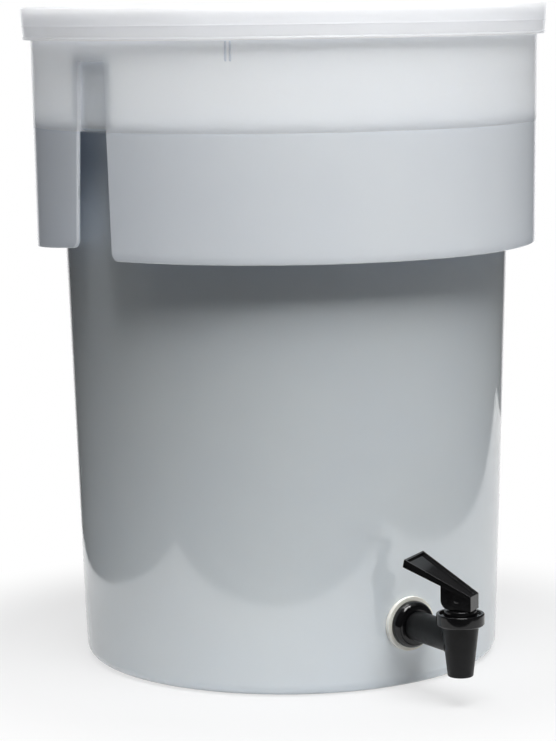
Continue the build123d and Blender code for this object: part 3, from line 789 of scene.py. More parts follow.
def make_lid(material, tops_shade_material):
    """The lid: a shallow disc with a drafted edge, a fine line round it and a rolled lip below.

    The faces that look up, and the panel, take a darker copy of the plastic, without the glow: painted
    shade.
    """
    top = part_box("lid")[1].z
    growth = (LID_TOP_RADIUS - LID_BOTTOM_RADIUS) / (top - LID_BOTTOM)

    def edge(height):
        return LID_BOTTOM_RADIUS + (height - LID_BOTTOM) * growth

    lip_bottom = LID_BOTTOM - LID_LIP
    plug = collar_inside(RIM_HEIGHT) - LID_FIT
    recess = plug - LID_PLUG_WALL
    panel = top - LID_RECESS_DEPTH
    underside = RIM_HEIGHT + 0.3 * MM
    soft = 1.5 * MM
    line = [
        (edge(LID_LINE_HEIGHT) + proud * LID_LINE_PROUD, LID_LINE_HEIGHT + side * LID_LINE_WIDTH)
        for side, proud in ((1.6, 0), (0.9, 0.25), (0.35, 1), (-0.35, 1), (-0.9, 0.25), (-1.6, 0))
    ]
    profile = [
        *[(radius, panel) for radius in between(0, recess - soft, 4)],
        *arc(recess - soft, panel + soft, soft, -90, 0, 4),
        *arc(recess + soft, top - soft, soft, 180, 90, 4),
        *arc(LID_TOP_RADIUS - LID_EDGE, top - LID_EDGE, LID_EDGE, 90, 6, 6),
        *[(edge(height), height) for height in between(top - LID_EDGE, LID_LINE_HEIGHT + 0.8 * MM, 3)],
        *line,
        *[(edge(height), height) for height in between(LID_LINE_HEIGHT - 0.8 * MM, LID_BOTTOM + LID_LIP, 3)],
        (edge(LID_BOTTOM + LID_LIP), LID_BOTTOM + LID_LIP),
        *arc(LID_BOTTOM_RADIUS + LID_LIP_PROUD - LID_LIP, LID_BOTTOM, LID_LIP, 60, -90, 8),
        (LID_BOTTOM_RADIUS - LID_WALL, lip_bottom),
        *[(edge(height) - LID_WALL, height) for height in between(lip_bottom, underside, 4)],
        (edge(underside) - LID_WALL, underside),
        (plug, underside),
        (plug, top - LID_PLUG_DEPTH),
        (recess, top - LID_PLUG_DEPTH),
        (recess, panel - LID_PANEL_THICKNESS),
        *[(radius, panel - LID_PANEL_THICKNESS) for radius in between(recess, 0, 4)],
    ]
    maker = RoundMesh()
    angles = [2 * math.pi * i / 240 for i in range(240)]
    first = maker.ring(angles, *profile[0])
    maker.fan(first, panel)
    maker.fan(maker.rings(angles, profile[1:], first), panel - LID_PANEL_THICKNESS)
    lid = maker.build("lid_shell", material)
    lid.data.materials.append(tops_shade_material)
    for face in lid.data.polygons:
        # Faces that look up, and the panel, take the darker copy (painted shade); the rest keep the copy
        # with the painted glow.
        face.material_index = int(face.normal.z > 0.5 or face.center.xy.length < recess - soft)
    return lid


# ---------------------------------------------------------------- ribs under the lid
RIB_ANGLES = (math.radians(-43.85), math.radians(136.15))
RIB_SPACING = 2.9 * MM
RIB_WIDTH = 1.1 * MM
RIB_PROUD = 0.9 * MM
RIB_HEIGHTS = (404.0 * MM, 416.5 * MM)


def make_ribs(material):
    """Two pairs of small upright ribs with round ends, which rise from the collar."""
    maker = RoundMesh()
    low, high = RIB_HEIGHTS
    for middle in RIB_ANGLES:
        for side in (-0.5, 0.5):
            rows = []
            for t in (0, 0.03, 0.1, 0.2, 0.5, 0.8, 0.9, 0.97, 1):
                height = low + (high - low) * t
                size = math.sqrt(max(0.0, 1 - max(0.0, abs(t - 0.5) * 2 - 0.8) ** 2 / 0.04))
                row = []
                for turn in range(9):
                    around = math.pi * turn / 8
                    out = math.sin(around) * RIB_PROUD * size - 0.15 * MM
                    across = math.cos(around) * RIB_WIDTH * (0.35 + 0.3 * size)
                    radius = skirt_radius(height) + out
                    row.append(maker.point(middle + (side * RIB_SPACING + across) / radius, radius, height))
                rows.append(row)
            maker.tube(rows)
    return maker.build("collar_ribs", material, 50)


# ---------------------------------------------------------------- tap
TAP_HEIGHT = 42.8 * MM
FLANGE_BACK = body_radius(TAP_HEIGHT) + 3.0 * MM
FLANGE_FRONT = FLANGE_BACK + 7.0 * MM
FLANGE_RADIUS = 15.2 * MM
FLANGE_EDGE = 1.8 * MM
FLANGE_NOSE = 10.4 * MM
TUBE_RADIUS = 9.6 * MM
SPIGOT_RADIUS = 7.2 * MM
SPIGOT_LENGTH = 5.0 * MM
SPOUT_AXIS = body_radius(TAP_HEIGHT) + 56.4 * MM
SPOUT_BOTTOM = TAP_HEIGHT - 22.7 * MM
SPOUT_OUTLET = 8.05 * MM
SPOUT_TOP = 11.7 * MM
SPOUT_BORE = 5.6 * MM
BONNET_BOTTOM = TAP_HEIGHT + 9.8 * MM
BONNET_RIM_TOP = BONNET_BOTTOM + 7.7 * MM
BONNET_TOP = BONNET_BOTTOM + 10.1 * MM
NECK_TOP = BONNET_BOTTOM + 3.5 * MM
SWIVEL = math.radians(31)
PIN_REACH = 6.5 * MM
CUP_RADIUS = 7.45 * MM
CUP_TIP = TAP_HEIGHT - 9.25 * MM
CUP_FOOT = CUP_TIP + 2 * MM
FLARE = 1.6 * MM                         # of the tube where it runs into the spout
FLARE_STEPS = 8


def flange_profile():
    """The domed flange, with a fine step line near its nose, and the threaded tube behind it."""
    dome = []
    for turn in (4, 15, 27, 39, 50, 58, 60, 62, 64, 72, 81, 90):
        groove = 0.35 * MM if turn in (60, 62) else 0
        out = math.sin(math.radians(turn)) * (FLANGE_FRONT - FLANGE_BACK - FLANGE_EDGE)
        radius = FLANGE_NOSE + (FLANGE_RADIUS - FLANGE_NOSE) * math.cos(math.radians(turn))
        dome.append((radius - groove, FLANGE_BACK + FLANGE_EDGE + out - groove, 0))
    end = -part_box("shank")[1].y
    thread = []
    pitch = 1.5 * MM
    place = FLANGE_BACK - 9 * MM
    while place > end + pitch:
        thread += [
            (radius * MM, place - down * MM, 0)
            for radius, down in ((7.95, 0), (7.95, 0.4), (7.45, 0.75), (7.45, 1.1))
        ]
        place -= pitch
    return rounded([
        *dome, (7.3 * MM, FLANGE_FRONT, 0.3 * MM), (7.3 * MM, FLANGE_FRONT - 6.2 * MM, 0),
        (5.5 * MM, FLANGE_FRONT - 6.2 * MM, 0), (5.5 * MM, end, 0.2 * MM), (7.5 * MM, end, 0.3 * MM),
        *reversed(thread), (8.0 * MM, FLANGE_BACK - 8.5 * MM, 0), (8.0 * MM, FLANGE_BACK, 0),
        (FLANGE_RADIUS, FLANGE_BACK, 0.4 * MM), (FLANGE_RADIUS, FLANGE_BACK + FLANGE_EDGE, 0.5 * MM),
    ])


def make_shank(material):
    """The flange and its tube, turned round the tap's level axis."""
    piece = turned("tap_flange", flange_profile(), material, 96)
    piece.data.transform(Matrix.Translation((0, 0, TAP_HEIGHT)) @ Matrix.Rotation(math.pi / 2, 4, "X"))
    return piece


def turned_on_spout(name, corners, material):
    """A solid turned round the spout's axis from a profile with rounded corners."""
    piece = turned(name, rounded(corners), material, 96)
    piece.data.transform(Matrix.Translation((0, -SPOUT_AXIS, 0)))
    return piece


def make_bonnet(material):
    """The screwed cap: a rim, a groove inside it, and the boss that the handle's foot slides on."""
    rim, boss, neck, hole = 15.2 * MM, 10.4 * MM, 11.35 * MM, 3.0 * MM
    floor = BONNET_RIM_TOP - 1.4 * MM
    ceiling = NECK_TOP + 1.1 * MM
    return turned_on_spout("tap_bonnet", [
        (hole, ceiling, 0), (neck, ceiling, 0), (neck, BONNET_BOTTOM, 0.3 * MM),
        (rim - 0.9 * MM, BONNET_BOTTOM, 0.4 * MM), (rim, BONNET_BOTTOM + 0.9 * MM, 0.5 * MM),
        (rim, BONNET_RIM_TOP, 0.8 * MM), (rim - 2.2 * MM, BONNET_RIM_TOP, 0.7 * MM),
        (rim - 2.2 * MM, floor, 0.4 * MM), (boss, floor, 0.4 * MM), (boss, BONNET_TOP, 0.6 * MM),
        (hole, BONNET_TOP, 0.3 * MM),
    ], material)


def spout_radius(height):
    share = (height - SPOUT_BOTTOM) / (BONNET_BOTTOM - SPOUT_BOTTOM)
    return SPOUT_OUTLET + (SPOUT_TOP - SPOUT_OUTLET) * share


def flared(turn, step):
    """(radius, distance out) at a turn round the tube, at a step of its way into the spout."""
    across, up = math.sin(turn) * TUBE_RADIUS, math.cos(turn) * TUBE_RADIUS
    wall = math.sqrt(max(0.0, (spout_radius(TAP_HEIGHT + up) - 0.1 * MM) ** 2 - across ** 2))
    back = FLARE * (1 - step / FLARE_STEPS)
    rise = FLARE - math.sqrt(max(0.0, FLARE ** 2 - (FLARE - back) ** 2))
    rise *= 0.8 * abs(math.cos(turn)) if step else 0
    return TUBE_RADIUS + rise, SPOUT_AXIS - wall - back


def make_tube(material):
    """The level tube, flared a little where it runs into the spout, with its spigot."""
    maker = RoundMesh()
    turns = [2 * math.pi * i / 72 for i in range(72)]
    spigot_end, start = FLANGE_FRONT - SPIGOT_LENGTH, FLANGE_FRONT + 0.05 * MM
    plain = (
        (SPIGOT_RADIUS, spigot_end), (SPIGOT_RADIUS, start),
        (TUBE_RADIUS - 0.4 * MM, start), (TUBE_RADIUS, start + 0.4 * MM),
    )
    places = [[place] * len(turns) for place in plain]
    places += [[flared(turn, step) for turn in turns] for step in range(FLARE_STEPS + 1)]
    rows = []
    for row in places:
        rows.append([
            maker.add((math.sin(turn) * radius, -away, TAP_HEIGHT + math.cos(turn) * radius))
            for turn, (radius, away) in zip(turns, row)
        ])
    for one, other in zip(rows, rows[1:]):
        maker.band(one, other, closed=True)
    maker.fan(rows[0], TAP_HEIGHT, -spigot_end)
    maker.fan(rows[-1], TAP_HEIGHT, TUBE_RADIUS - SPOUT_AXIS)
    return maker.build("tube", material)


def make_tap_body(material):
    """The tapered spout with its bore and valve chamber, and the tube that leads to it."""
    seat = TAP_HEIGHT - 9.4 * MM
    spout = turned_on_spout("spout", [
        (SPOUT_BORE, SPOUT_BOTTOM, 0.5 * MM), (SPOUT_OUTLET, SPOUT_BOTTOM, 0.7 * MM),
        (SPOUT_TOP, BONNET_BOTTOM, 0), (11.2 * MM, BONNET_BOTTOM, 0), (11.2 * MM, NECK_TOP, 0.2 * MM),
        (7.6 * MM, NECK_TOP, 0), (7.6 * MM, seat + 2.0 * MM, 0), (SPOUT_BORE, seat, 0),
    ], material)
    return merged("tap_body", [spout, make_tube(material)], material)


def make_seat_cup(material):
    """The silicone cup: a rim held under the bonnet, a thin sleeve, and a tip that the stem draws up."""
    inside = CUP_RADIUS - 1.3 * MM
    stem = 3.0 * MM
    foot = 4.3 * MM
    return turned_on_spout("valve_cup", [
        (0, CUP_TIP, 0), (CUP_RADIUS - 2 * MM, CUP_TIP, 0.6 * MM), (CUP_RADIUS, CUP_TIP + 2 * MM, 0.6 * MM),
        *[(CUP_RADIUS, height, 0) for height in between(CUP_TIP + 3 * MM, NECK_TOP, 8)],
        (CUP_RADIUS, NECK_TOP + 0.1 * MM, 0.3 * MM), (11.2 * MM, NECK_TOP + 0.1 * MM, 0.3 * MM),
        (11.2 * MM, NECK_TOP + 1.0 * MM, 0.3 * MM), (inside, NECK_TOP + 1.0 * MM, 0.3 * MM),
        *[(inside, height, 0) for height in between(NECK_TOP, CUP_FOOT + 4 * MM, 8)],
        (inside, CUP_FOOT + 3.7 * MM, 0.5 * MM), (stem, CUP_FOOT + 3.7 * MM, 0.3 * MM),
        (stem, CUP_FOOT + 2.5 * MM, 0), (foot, CUP_FOOT + 2.5 * MM, 0),
        (foot, CUP_FOOT - 0.1 * MM, 0), (0, CUP_FOOT - 0.1 * MM, 0),
    ], material)


def make_pin_plugs(material):
    """Low domed plugs that cover both ends of the handle's pin."""
    maker = RoundMesh()
    low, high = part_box("handle_pin")
    pin = (high.z - low.z) / 2
    middle = (low + high) / 2
    along = Vector((math.cos(SWIVEL), math.sin(SWIVEL), 0))
    across = Vector((-along.y, along.x, 0))
    spokes = [turned_pair(across, -UP, 2 * math.pi * turn / 24)[0] for turn in range(24)]
    for side in (-1, 1):
        rows = []
        for out, size in ((-0.3, 1.08), (0.06, 1.08), (0.14, 0.95), (0.2, 0.5)):
            centre = middle + along * side * (PIN_REACH + out * MM)
            rows.append([maker.add(centre + spoke * pin * size) for spoke in spokes])
        maker.tube(rows)
    return maker.build("pin_plugs", material)


# ---------------------------------------------------------------- strainer
SLEEVE_BOTTOM = 341.0 * MM
STRAINER_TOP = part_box("strainer_rim")[1].z
BAG_TOP_RADIUS = body_inside(SLEEVE_BOTTOM) - 3.7 * MM
BAG_BASE_RADIUS = body_inside(floor_top) - 18.6 * MM
BAG_BOTTOM = floor_top + 0.3 * MM
BAG_CORNER = 12.0 * MM
BAG_SEAM = math.radians(170)
CLOTH = 0.5 * MM
FILTER_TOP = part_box("paper_filter")[1].z
CLOTH_ROUND = 2 * math.pi * BAG_TOP_RADIUS
FILTER_INSET = 1.9 * MM
FILTER_THICKNESS = 0.4 * MM
FILTER_LIFT = 1.6 * MM                   # of the filter's base above the bag's
FILTER_DROP = 0.5 * MM                   # of its edge below the CAD filter's top
STITCHES_ROUND = 250
STITCH_SHARE = 0.62                      # of a stitch's pitch that shows
SEAM_STITCHES = 78
SEAM_PITCH = 4 * MM
THREAD = 0.22 * MM


def make_strainer_ring(material):
    """The moulded ring that lies on the container's shoulder, with a sleeve for the bag."""
    sleeve = body_inside(SLEEVE_BOTTOM) - 1.2 * MM
    inside = sleeve - 2.2 * MM
    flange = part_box("strainer_rim")[1].x
    return turned("strainer_ring", rounded([
        (inside, SLEEVE_BOTTOM, 0.8 * MM), (sleeve, SLEEVE_BOTTOM, 0.8 * MM), (sleeve, shoulder_top, 0),
        (flange, shoulder_top, 0.8 * MM), (flange, STRAINER_TOP, 1.2 * MM),
        (flange - 3 * MM, STRAINER_TOP, 0.4 * MM), (flange - 4 * MM, STRAINER_TOP - 0.6 * MM, 0.4 * MM),
        (inside + 3 * MM, STRAINER_TOP - 0.6 * MM, 0.4 * MM), (inside + 2 * MM, STRAINER_TOP, 0.4 * MM),
        (inside, STRAINER_TOP, 1.0 * MM),
    ]), material)


def bag_radius(height):
    """Outside of the hanging cloth before it folds."""
    share = (height - BAG_BOTTOM) / (SLEEVE_BOTTOM - BAG_BOTTOM)
    return BAG_BASE_RADIUS + (BAG_TOP_RADIUS - BAG_BASE_RADIUS) * min(share, 1) - 0.7 * MM


def folds(angle, height):
    """How far the wet cloth sinks in where it hangs in soft folds, none at its band or its base."""
    share = (height - BAG_BOTTOM - BAG_CORNER) / (315 * MM - BAG_BOTTOM - BAG_CORNER)
    if not 0 < share < 1:
        return 0
    hang = math.sin(math.pi * share) ** 0.7
    wave = math.sin(9 * angle + 1.7 * math.sin(2 * angle + 5 * share) + 0.6)
    ripple = math.sin(23 * angle + 2.2 * math.sin(3 * angle - 4 * share) + 1.9)
    return hang * (1.0 * (0.5 + 0.5 * wave) + 0.35 * (0.5 + 0.5 * ripple)) * 1.6 * MM


def cloth_profile(inset, bottom, top, steps):
    """From the edge of the base's middle up the wall, (radius, height)."""
    base = bag_radius(BAG_BOTTOM) - inset
    corner = BAG_CORNER - inset * 0.5
    return [
        *[(radius, bottom) for radius in between(0, base - corner, 5)],
        *arc(base - corner, bottom + corner, corner, -90, 0, 6),
        *[(bag_radius(height) - inset, height) for height in between(bottom + corner, top, steps)],
        (bag_radius(top) - inset, top),
    ]


def cloth_bag(name, inset, thickness, bottom, top, inwards, material):
    """A bag of cloth or paper, open at the top, with a soft turned edge."""
    outside = cloth_profile(inset, bottom, top, 60)
    inside = cloth_profile(inset + thickness, bottom + thickness, top - thickness * 0.3, 60)
    maker = RoundMesh()
    angles = [2 * math.pi * i / 360 for i in range(360)]
    first = maker.rings(angles, outside[:1], inwards=inwards)
    maker.fan(first, bottom)
    last = maker.rings(angles, outside[1:], first, inwards)
    edge = [(bag_radius(top) - inset - thickness / 2, top + thickness * 0.3)]
    last = maker.rings(angles, edge, last, inwards)
    last = maker.rings(angles, list(reversed(inside)), last, inwards)
    maker.fan(last, bottom + thickness)
    return wrap_cloth(maker.build(name, material, 60), CLOTH_ROUND)


def mesh_inwards(angle, height):
    """The bag's folds, with a raised seam down its back and a thicker band at its top."""
    off = (angle - BAG_SEAM + math.pi) % (2 * math.pi) - math.pi
    seam = 0.3 * MM * math.exp(-(off / math.radians(1.6)) ** 4) if height > BAG_CORNER else 0
    band = 0.15 * MM if height > SLEEVE_BOTTOM - 8 * MM else 0
    return folds(angle, height) - seam - band


def paper_inwards(angle, height):
    """The filter leans on the bag and follows its folds, with sharper creases of its own."""
    crease = 1 - abs(math.sin(15.5 * angle + 1.3 * math.sin(4 * angle) + 14 * height))
    sag = 0.6 * MM * (0.5 + 0.5 * math.sin(5 * angle + 1)) * max(0.0, height / FILTER_TOP) ** 3
    return folds(angle, height) + 1.1 * MM * crease ** 2 * min(1.0, height / 0.05) + sag


def on_bag(angle, height, proud):
    """A place proud of the folded bag's outside."""
    return Vector(polar(angle, bag_radius(height) + proud - folds(angle, height), height))


def make_stitching(material):
    """Two rows of stitches round the bag's top band, one by its base and one each side of its seam."""
    maker = RoundMesh()
    pitch = 2 * math.pi / STITCHES_ROUND
    for height, proud in (
        (STRAINER_TOP - 4 * MM, 0.4 * MM), (SLEEVE_BOTTOM - 5 * MM, 0.4 * MM),
        (BAG_BOTTOM + 15 * MM, 0.25 * MM),
    ):
        for i in range(STITCHES_ROUND):
            ends = [on_bag(pitch * place, height, proud) for place in (i, i + STITCH_SHARE)]
            add_thread(maker, *ends, THREAD)
    for side in (-1, 1):
        angle = BAG_SEAM + side * math.radians(1.0)
        for i in range(SEAM_STITCHES):
            low = BAG_BOTTOM + 18 * MM + i * SEAM_PITCH
            ends = [on_bag(angle, height, 0.4 * MM) for height in (low, low + 2.5 * MM)]
            add_thread(maker, *ends, THREAD)
    return maker.build("bag_stitching", material)


# ---------------------------------------------------------------- webbing loops
LOOP_HALF = 27 * MM                      # from the loop's middle to the middle of each leg
TAPE_HALF = 10 * MM
TAPE_THICKNESS = 1.3 * MM
LOOP_BOTTOM = STRAINER_TOP - 44 * MM + TAPE_HALF
LOOP_INSET = 2.1 * MM                    # of the tape's middle inside the bag's outside


def loop_path():
    """Rows along the tape: the middle's place across and up, and the way to its outer edge."""
    top = STRAINER_TOP - 0.3 * MM
    fold = LOOP_BOTTOM + TAPE_HALF
    half = LOOP_HALF - TAPE_HALF
    rows = [(-LOOP_HALF, height, -1, 0) for height in (top, *between(top, fold, 8), fold)]
    rows.append((-LOOP_HALF, LOOP_BOTTOM, -1, -1))
    rows += [(across, LOOP_BOTTOM, 0, -1) for across in (-half, *between(-half, half, 10), half)]
    rows.append((LOOP_HALF, LOOP_BOTTOM, 1, -1))
    rows += [(LOOP_HALF, height, 1, 0) for height in (fold, *between(fold, top, 8), top)]
    return rows


def make_loop(name, side, material):
    """A webbing loop sewn inside the bag's band, folded over at its two lower corners."""
    maker = RoundMesh()
    face = (
        (-1, 0), (-0.985, 0.6), (-0.94, 1), (-0.86, 0.85),
        (0, 0.8), (0.86, 0.85), (0.94, 1), (0.985, 0.6),
    )
    section = [*face, *[(-place, -thick) for place, thick in face]]
    rows = []
    for across, height, out_across, out_up in loop_path():
        row = []
        for place, thick in section:
            where = across + out_across * place * TAPE_HALF
            level = height + out_up * place * TAPE_HALF
            ease = 0.25 * MM * math.sin(where * 260) * (level < SLEEVE_BOTTOM)
            radius = bag_radius(level) - LOOP_INSET + thick * TAPE_THICKNESS / 2 + ease
            row.append(maker.point(side + where / radius, radius, level))
        rows.append(row)
    maker.tube(rows)
    return wrap_cloth(maker.build(name, material, 35), CLOTH_ROUND)


def make_loop_stitching(material):
    """A stitched box with a cross on each leg of both loops, on the side that shows."""
    maker = RoundMesh()
    inwards = LOOP_INSET + TAPE_THICKNESS / 2 + 0.05 * MM
    low, high = SLEEVE_BOTTOM + 4 * MM, STRAINER_TOP - 4 * MM
    legs = [(side, leg) for side in (-math.pi / 2, math.pi / 2) for leg in (-LOOP_HALF, LOOP_HALF)]
    for side, leg in legs:
        left, right = leg - 7 * MM, leg + 7 * MM
        corners = ((left, low), (right, low), (right, high), (left, high), (left, low), (right, high))
        lines = [*zip(corners, corners[1:]), ((left, high), (right, low))]
        for (x0, z0), (x1, z1) in lines:
            count = max(1, round(math.hypot(x1 - x0, z1 - z0) / (2.6 * MM)))
            for i in range(count):
                ends = []
                for t in ((i + 0.1) / count, (i + 0.85) / count):
                    x, z = x0 + (x1 - x0) * t, z0 + (z1 - z0) * t
                    radius = bag_radius(z) - inwards
                    ends.append(Vector(polar(side + x / radius, radius, z)))
                add_thread(maker, *ends, 0.25 * MM)
    return maker.build("loop_stitching", material)


# ---------------------------------------------------------------- stage and light
# The object stands on a white table top in a dim studio, in front of a white background. A main
# softbox hangs high up in front and to the right, a weak one overhead, and a weak one far up on the
# left. Places on the stage are (right, away) as the camera sees them.
TABLE_CORNERS = ((-0.414, -0.29), (0.40, -0.40), (0.75, 0.9), (-0.13, 0.9))
TABLE_COLOR = (0.62, 0.625, 0.63)
TABLE_FADE = (0.20, 0.33)                # distance from the middle over which the table turns white
TABLE_WHITE = 0.68                       # share of plain white in the table beside the object
STUDIO_LEFT_LIGHT = 0.04
STUDIO_RIGHT_LIGHT = 0.09
BACKDROP_LIGHT = 0.6
MAIN_POWER, MAIN_SIZE, MAIN_DISTANCE = 36, 0.9, 1.6
MAIN_AZIMUTH = math.radians(18)          # round from the camera's side towards the right
MAIN_ELEVATION = math.radians(62)
MAIN_AIM = 0.25                          # height on the axis that it points at
OVERHEAD_POWER, OVERHEAD_SIZE, OVERHEAD_HEIGHT = 3, 1.6, 1.3
LEFT_POWER, LEFT_SIZE = 6, 0.5
LEFT_TURN = 0.1                          # radians, round from the left towards the camera
LEFT_PLACE = (0.76, 2.4)                 # out from the axis and up
LEFT_AIM = (0.17, 0.3)


def seen_directly(tree):
    """1 for camera, glossy and transmission rays, 0 for the rays that light things."""
    path = tree.nodes.new("ShaderNodeLightPath").outputs
    first = calculated(tree, "MAXIMUM", path["Is Camera Ray"], path["Is Glossy Ray"])
    return calculated(tree, "MAXIMUM", first, path["Is Transmission Ray"])


def eased(tree, value, low, high, start, end):
    """A value that goes smoothly from low to high as another goes from its start to its end."""
    level = map_range(tree, value, low, high, start, end)
    level.interpolation_type = "SMOOTHSTEP"
    return level.outputs["Result"]


def table_material():
    """White table that keeps the object's shadow and fades to the background's white."""
    material = new_material("table_white", TABLE_COLOR, 0.6)
    tree = material.node_tree
    distance = tree.nodes.new("ShaderNodeVectorMath")
    distance.operation = "LENGTH"
    feed(tree, distance.inputs[0], tree.nodes.new("ShaderNodeTexCoord").outputs["Object"])
    fade = eased(tree, distance.outputs["Value"], TABLE_WHITE, 1, *TABLE_FADE)
    share = calculated(tree, "MULTIPLY", fade, seen_directly(tree))
    mix_surfaces(tree, share, principled(material), tree.nodes.new("ShaderNodeEmission"))
    return material


def add_table():
    """The table top under the object."""
    mesh = bpy.data.meshes.new("table")
    corners = [STUDIO_RIGHT * right + STUDIO_AWAY * away for right, away in TABLE_CORNERS]
    mesh.from_pydata(corners, [], [(0, 1, 2, 3)])
    table = bpy.data.objects.new("table", mesh)
    bpy.context.scene.collection.objects.link(table)
    table.data.materials.append(table_material())


def facing(tree, direction, low, high, start, end):
    """A value that goes from low to high as the world's direction turns to one direction."""
    dot = tree.nodes.new("ShaderNodeVectorMath")
    dot.operation = "DOT_PRODUCT"
    dot.inputs[1].default_value = direction
    feed(tree, dot.inputs[0], tree.nodes.new("ShaderNodeTexCoord").outputs["Generated"])
    return eased(tree, dot.outputs["Value"], low, high, start, end)


def add_world():
    """White where it is seen; its light is that of a dim studio, a little brighter to the right."""
    world = bpy.data.worlds.new("studio")
    bpy.context.scene.world = world
    world.use_nodes = True
    tree = world.node_tree
    seen = seen_directly(tree)
    dim = facing(tree, STUDIO_RIGHT, STUDIO_LEFT_LIGHT, STUDIO_RIGHT_LIGHT, -0.8, 0.9)
    # The lit backdrop gives its light from behind without showing wider than it is in reflections.
    behind = facing(tree, STUDIO_AWAY, 0, BACKDROP_LIGHT, 0.4, 1.0)
    unseen = calculated(tree, "SUBTRACT", 1, seen)
    light = tree.nodes["Background"]
    light.inputs["Color"].default_value = (1, 1, 1, 1)
    feed(tree, light.inputs["Strength"], calculated(tree, "MULTIPLY_ADD", behind, unseen, dim))
    # Reflections show the white backdrop only behind the object, where it stands.
    reflected = calculated(tree, "MULTIPLY", seen, facing(tree, STUDIO_AWAY, 0, 1, 0.92, 0.97))
    camera_ray = tree.nodes.new("ShaderNodeLightPath").outputs["Is Camera Ray"]
    share = calculated(tree, "MAXIMUM", camera_ray, reflected)
    white = node_with(tree, "ShaderNodeBackground", Color=(1, 1, 1, 1), Strength=1.0)
    mix_surfaces(tree, share, light, white, "World Output")


def add_softbox(name, place, aim, size, power):
    """A square softbox that shines on one point."""
    data = bpy.data.lights.new(name, "AREA")
    data.size = size
    data.energy = power
    lamp = bpy.data.objects.new(name, data)
    lamp.location = place
    lamp.rotation_euler = (Vector(aim) - place).to_track_quat("-Z", "Y").to_euler()
    bpy.context.scene.collection.objects.link(lamp)


def add_softboxes():
    """The main softbox, in front and to the right, and weak ones overhead and far up on the left."""
    level = STUDIO_RIGHT * math.sin(MAIN_AZIMUTH) - STUDIO_AWAY * math.cos(MAIN_AZIMUTH)
    out = level * math.cos(MAIN_ELEVATION) + UP * math.sin(MAIN_ELEVATION)
    aim = UP * MAIN_AIM
    add_softbox("main_softbox", aim + out * MAIN_DISTANCE, aim, MAIN_SIZE, MAIN_POWER)
    add_softbox("overhead_softbox", UP * OVERHEAD_HEIGHT, (0, 0, 0), OVERHEAD_SIZE, OVERHEAD_POWER)
    left = -STUDIO_RIGHT * math.cos(LEFT_TURN) - STUDIO_AWAY * math.sin(LEFT_TURN)
    place, aim = (left * sideways + UP * height for sideways, height in (LEFT_PLACE, LEFT_AIM))
    add_softbox("left_softbox", place, aim, LEFT_SIZE, LEFT_POWER)


# ---------------------------------------------------------------- put together
def stand_for(piece, body, slot, *nodes):
    """The piece rides on a body and stands for the CAD nodes, if any; the slot is not used."""
    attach(piece, body)
    if nodes:
        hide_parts(*nodes)
    return piece


add_camera()
# The collar and the lid let light through. The collar, the skirt's outside and the lid's sides also have
# a painted glow, which stands in for the light that is scattered along inside such milky walls.
milky = milky_plastic("natural_polyethylene", (0.79, 0.86, 0.985), 0.08, 5 * MM)
# The collar's copy is a little lighter than the body's, lets light through and has a painted glow.
collar_plastic_painted_glow = milky_plastic(
    "natural_polyethylene_collar_painted_glow", (0.865, 0.905, 0.985), 0.08, 5 * MM, Emission_Strength=0.085
)
let_light_through(collar_plastic_painted_glow, 0.4)
# The skirt's copy has a faint bluish painted glow.
skirt_plastic_painted_glow = milky_plastic(
    "natural_polyethylene_skirt_painted_glow", (0.83, 0.88, 0.985), 0.08, 5 * MM,
    Emission_Strength=0.09, Emission_Color=(0.85, 0.93, 1.1, 1),
)
# The lid's sides have a painted glow: the emission below.
lid_plastic_painted_glow = milky_plastic(
    "lid_polyethylene", (0.95, 0.965, 0.99), 0.12, 1.2 * MM, Emission_Strength=0.2
)
let_light_through(lid_plastic_painted_glow, 0.5)
# The lid's tops and panel take a darker, more see-through copy without glow: painted shade.
lid_tops_painted_shade = milky_plastic("lid_polyethylene_tops_painted_shade", (0.95, 0.965, 0.985), 0.12, 2 * MM)
let_light_through(lid_tops_painted_shade, 0.8)
black_gloss = moulded_plastic(
    "black_gloss", (0.004, 0.004, 0.0045), 0.1, 0.003 * MM, Specular_IOR_Level=0.4
)
black_matte = moulded_plastic(
    "black_matte", (0.008, 0.008, 0.0085), 0.38, 0.03 * MM, Specular_IOR_Level=0.2
)
cream = moulded_plastic("cream_silicone", (0.90, 0.87, 0.79), 0.5, 0.02 * MM)
white = moulded_plastic("white_plastic", (0.8, 0.8, 0.77), 0.4, 0.02 * MM)
steel = ground_steel("stainless")
nylon = woven_cloth("nylon_mesh", (0.78, 0.78, 0.75), 1.2 * MM, 0.25 * MM)
webbing = woven_cloth("webbing", (0.74, 0.73, 0.70), 1.6 * MM, 0.4 * MM)
thread = moulded_plastic("sewing_thread", (0.72, 0.71, 0.68), 0.6, 0.05 * MM)
paper = creped_paper("filter_paper", (0.76, 0.70, 0.58))
MATERIALS = {
    "natural_polyethylene": milky, "lid_polyethylene": lid_plastic_painted_glow, "white_plastic": white,
    "nylon_mesh": nylon, "webbing": webbing, "filter_paper": paper, "cream_silicone": cream,
    "black_matte": black_matte, "black_gloss": black_gloss, "stainless": steel,
}
for part in frame["record"]["subparts"]:
    dress(part["node"], MATERIALS[part["material_slot"]])
shell = make_container(milky, collar_plastic_painted_glow, skirt_plastic_painted_glow)
stand_for(shell, "container", "natural_polyethylene", "container")
stand_for(make_lid(lid_plastic_painted_glow, lid_tops_painted_shade), "lid", "lid_polyethylene", "lid")
stand_for(make_ribs(milky), "container", "natural_polyethylene")
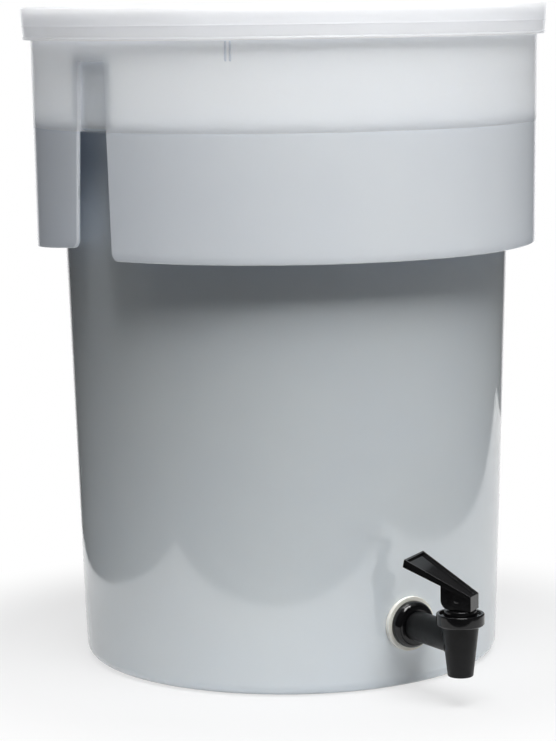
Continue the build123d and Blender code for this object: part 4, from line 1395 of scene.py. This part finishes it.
stand_for(make_shank(black_gloss), "container", "black_gloss", "shank")
stand_for(make_bonnet(black_gloss), "container", "black_gloss", "bonnet")
stand_for(make_tap_body(black_matte), "container", "black_matte", "faucet_body")
handle = rounded_copy("handle", "tap_handle", 0.6 * MM, black_gloss)
stand_for(handle, "handle", "black_gloss", "handle")
cup = make_seat_cup(cream)
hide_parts("seat_cup")
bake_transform(cup)
stand_for(make_pin_plugs(black_gloss), "handle", "black_gloss")
for node, name, width, slot in (
    ("outer_washer", "tap_washer", 0.6 * MM, "cream_silicone"),
    ("inner_washer", "inside_washer", 0.5 * MM, "cream_silicone"),
    ("shank_nut", "tap_nut", 0.5 * MM, "black_matte"),
):
    stand_for(rounded_copy(node, name, width, MATERIALS[slot]), "container", slot, node)
stand_for(make_strainer_ring(white), "strainer", "white_plastic", "strainer_rim")
bag = cloth_bag("mesh_bag", 0, CLOTH, BAG_BOTTOM, STRAINER_TOP, mesh_inwards, nylon)
stand_for(bag, "strainer", "nylon_mesh", "strainer_mesh")
WALL_AREA = math.pi * (BAG_TOP_RADIUS + BAG_BASE_RADIUS) * (SLEEVE_BOTTOM - BAG_BOTTOM)
WALL_AREA += 2 * math.pi * BAG_TOP_RADIUS * (STRAINER_TOP - SLEEVE_BOTTOM)
stitching = make_stitching(thread)
loop_stitching = make_loop_stitching(thread)
for piece in (stitching, loop_stitching):
    stand_for(piece, "strainer", "webbing")
paper_bag = cloth_bag(
    "filter_bag", FILTER_INSET, FILTER_THICKNESS, BAG_BOTTOM + FILTER_LIFT, FILTER_TOP - FILTER_DROP,
    paper_inwards, paper,
)
stand_for(paper_bag, "strainer", "filter_paper", "paper_filter")
for name in ("strainer_strap_left", "strainer_strap_right"):
    side = math.copysign(math.pi / 2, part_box(name)[0].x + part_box(name)[1].x)
    loop = make_loop(name.replace("strainer_strap", "webbing_loop"), side, webbing)
    stand_for(loop, "strainer", "webbing", name)
add_table()
add_world()
add_softboxes()
bpy.context.scene.view_settings.view_transform = "Standard"
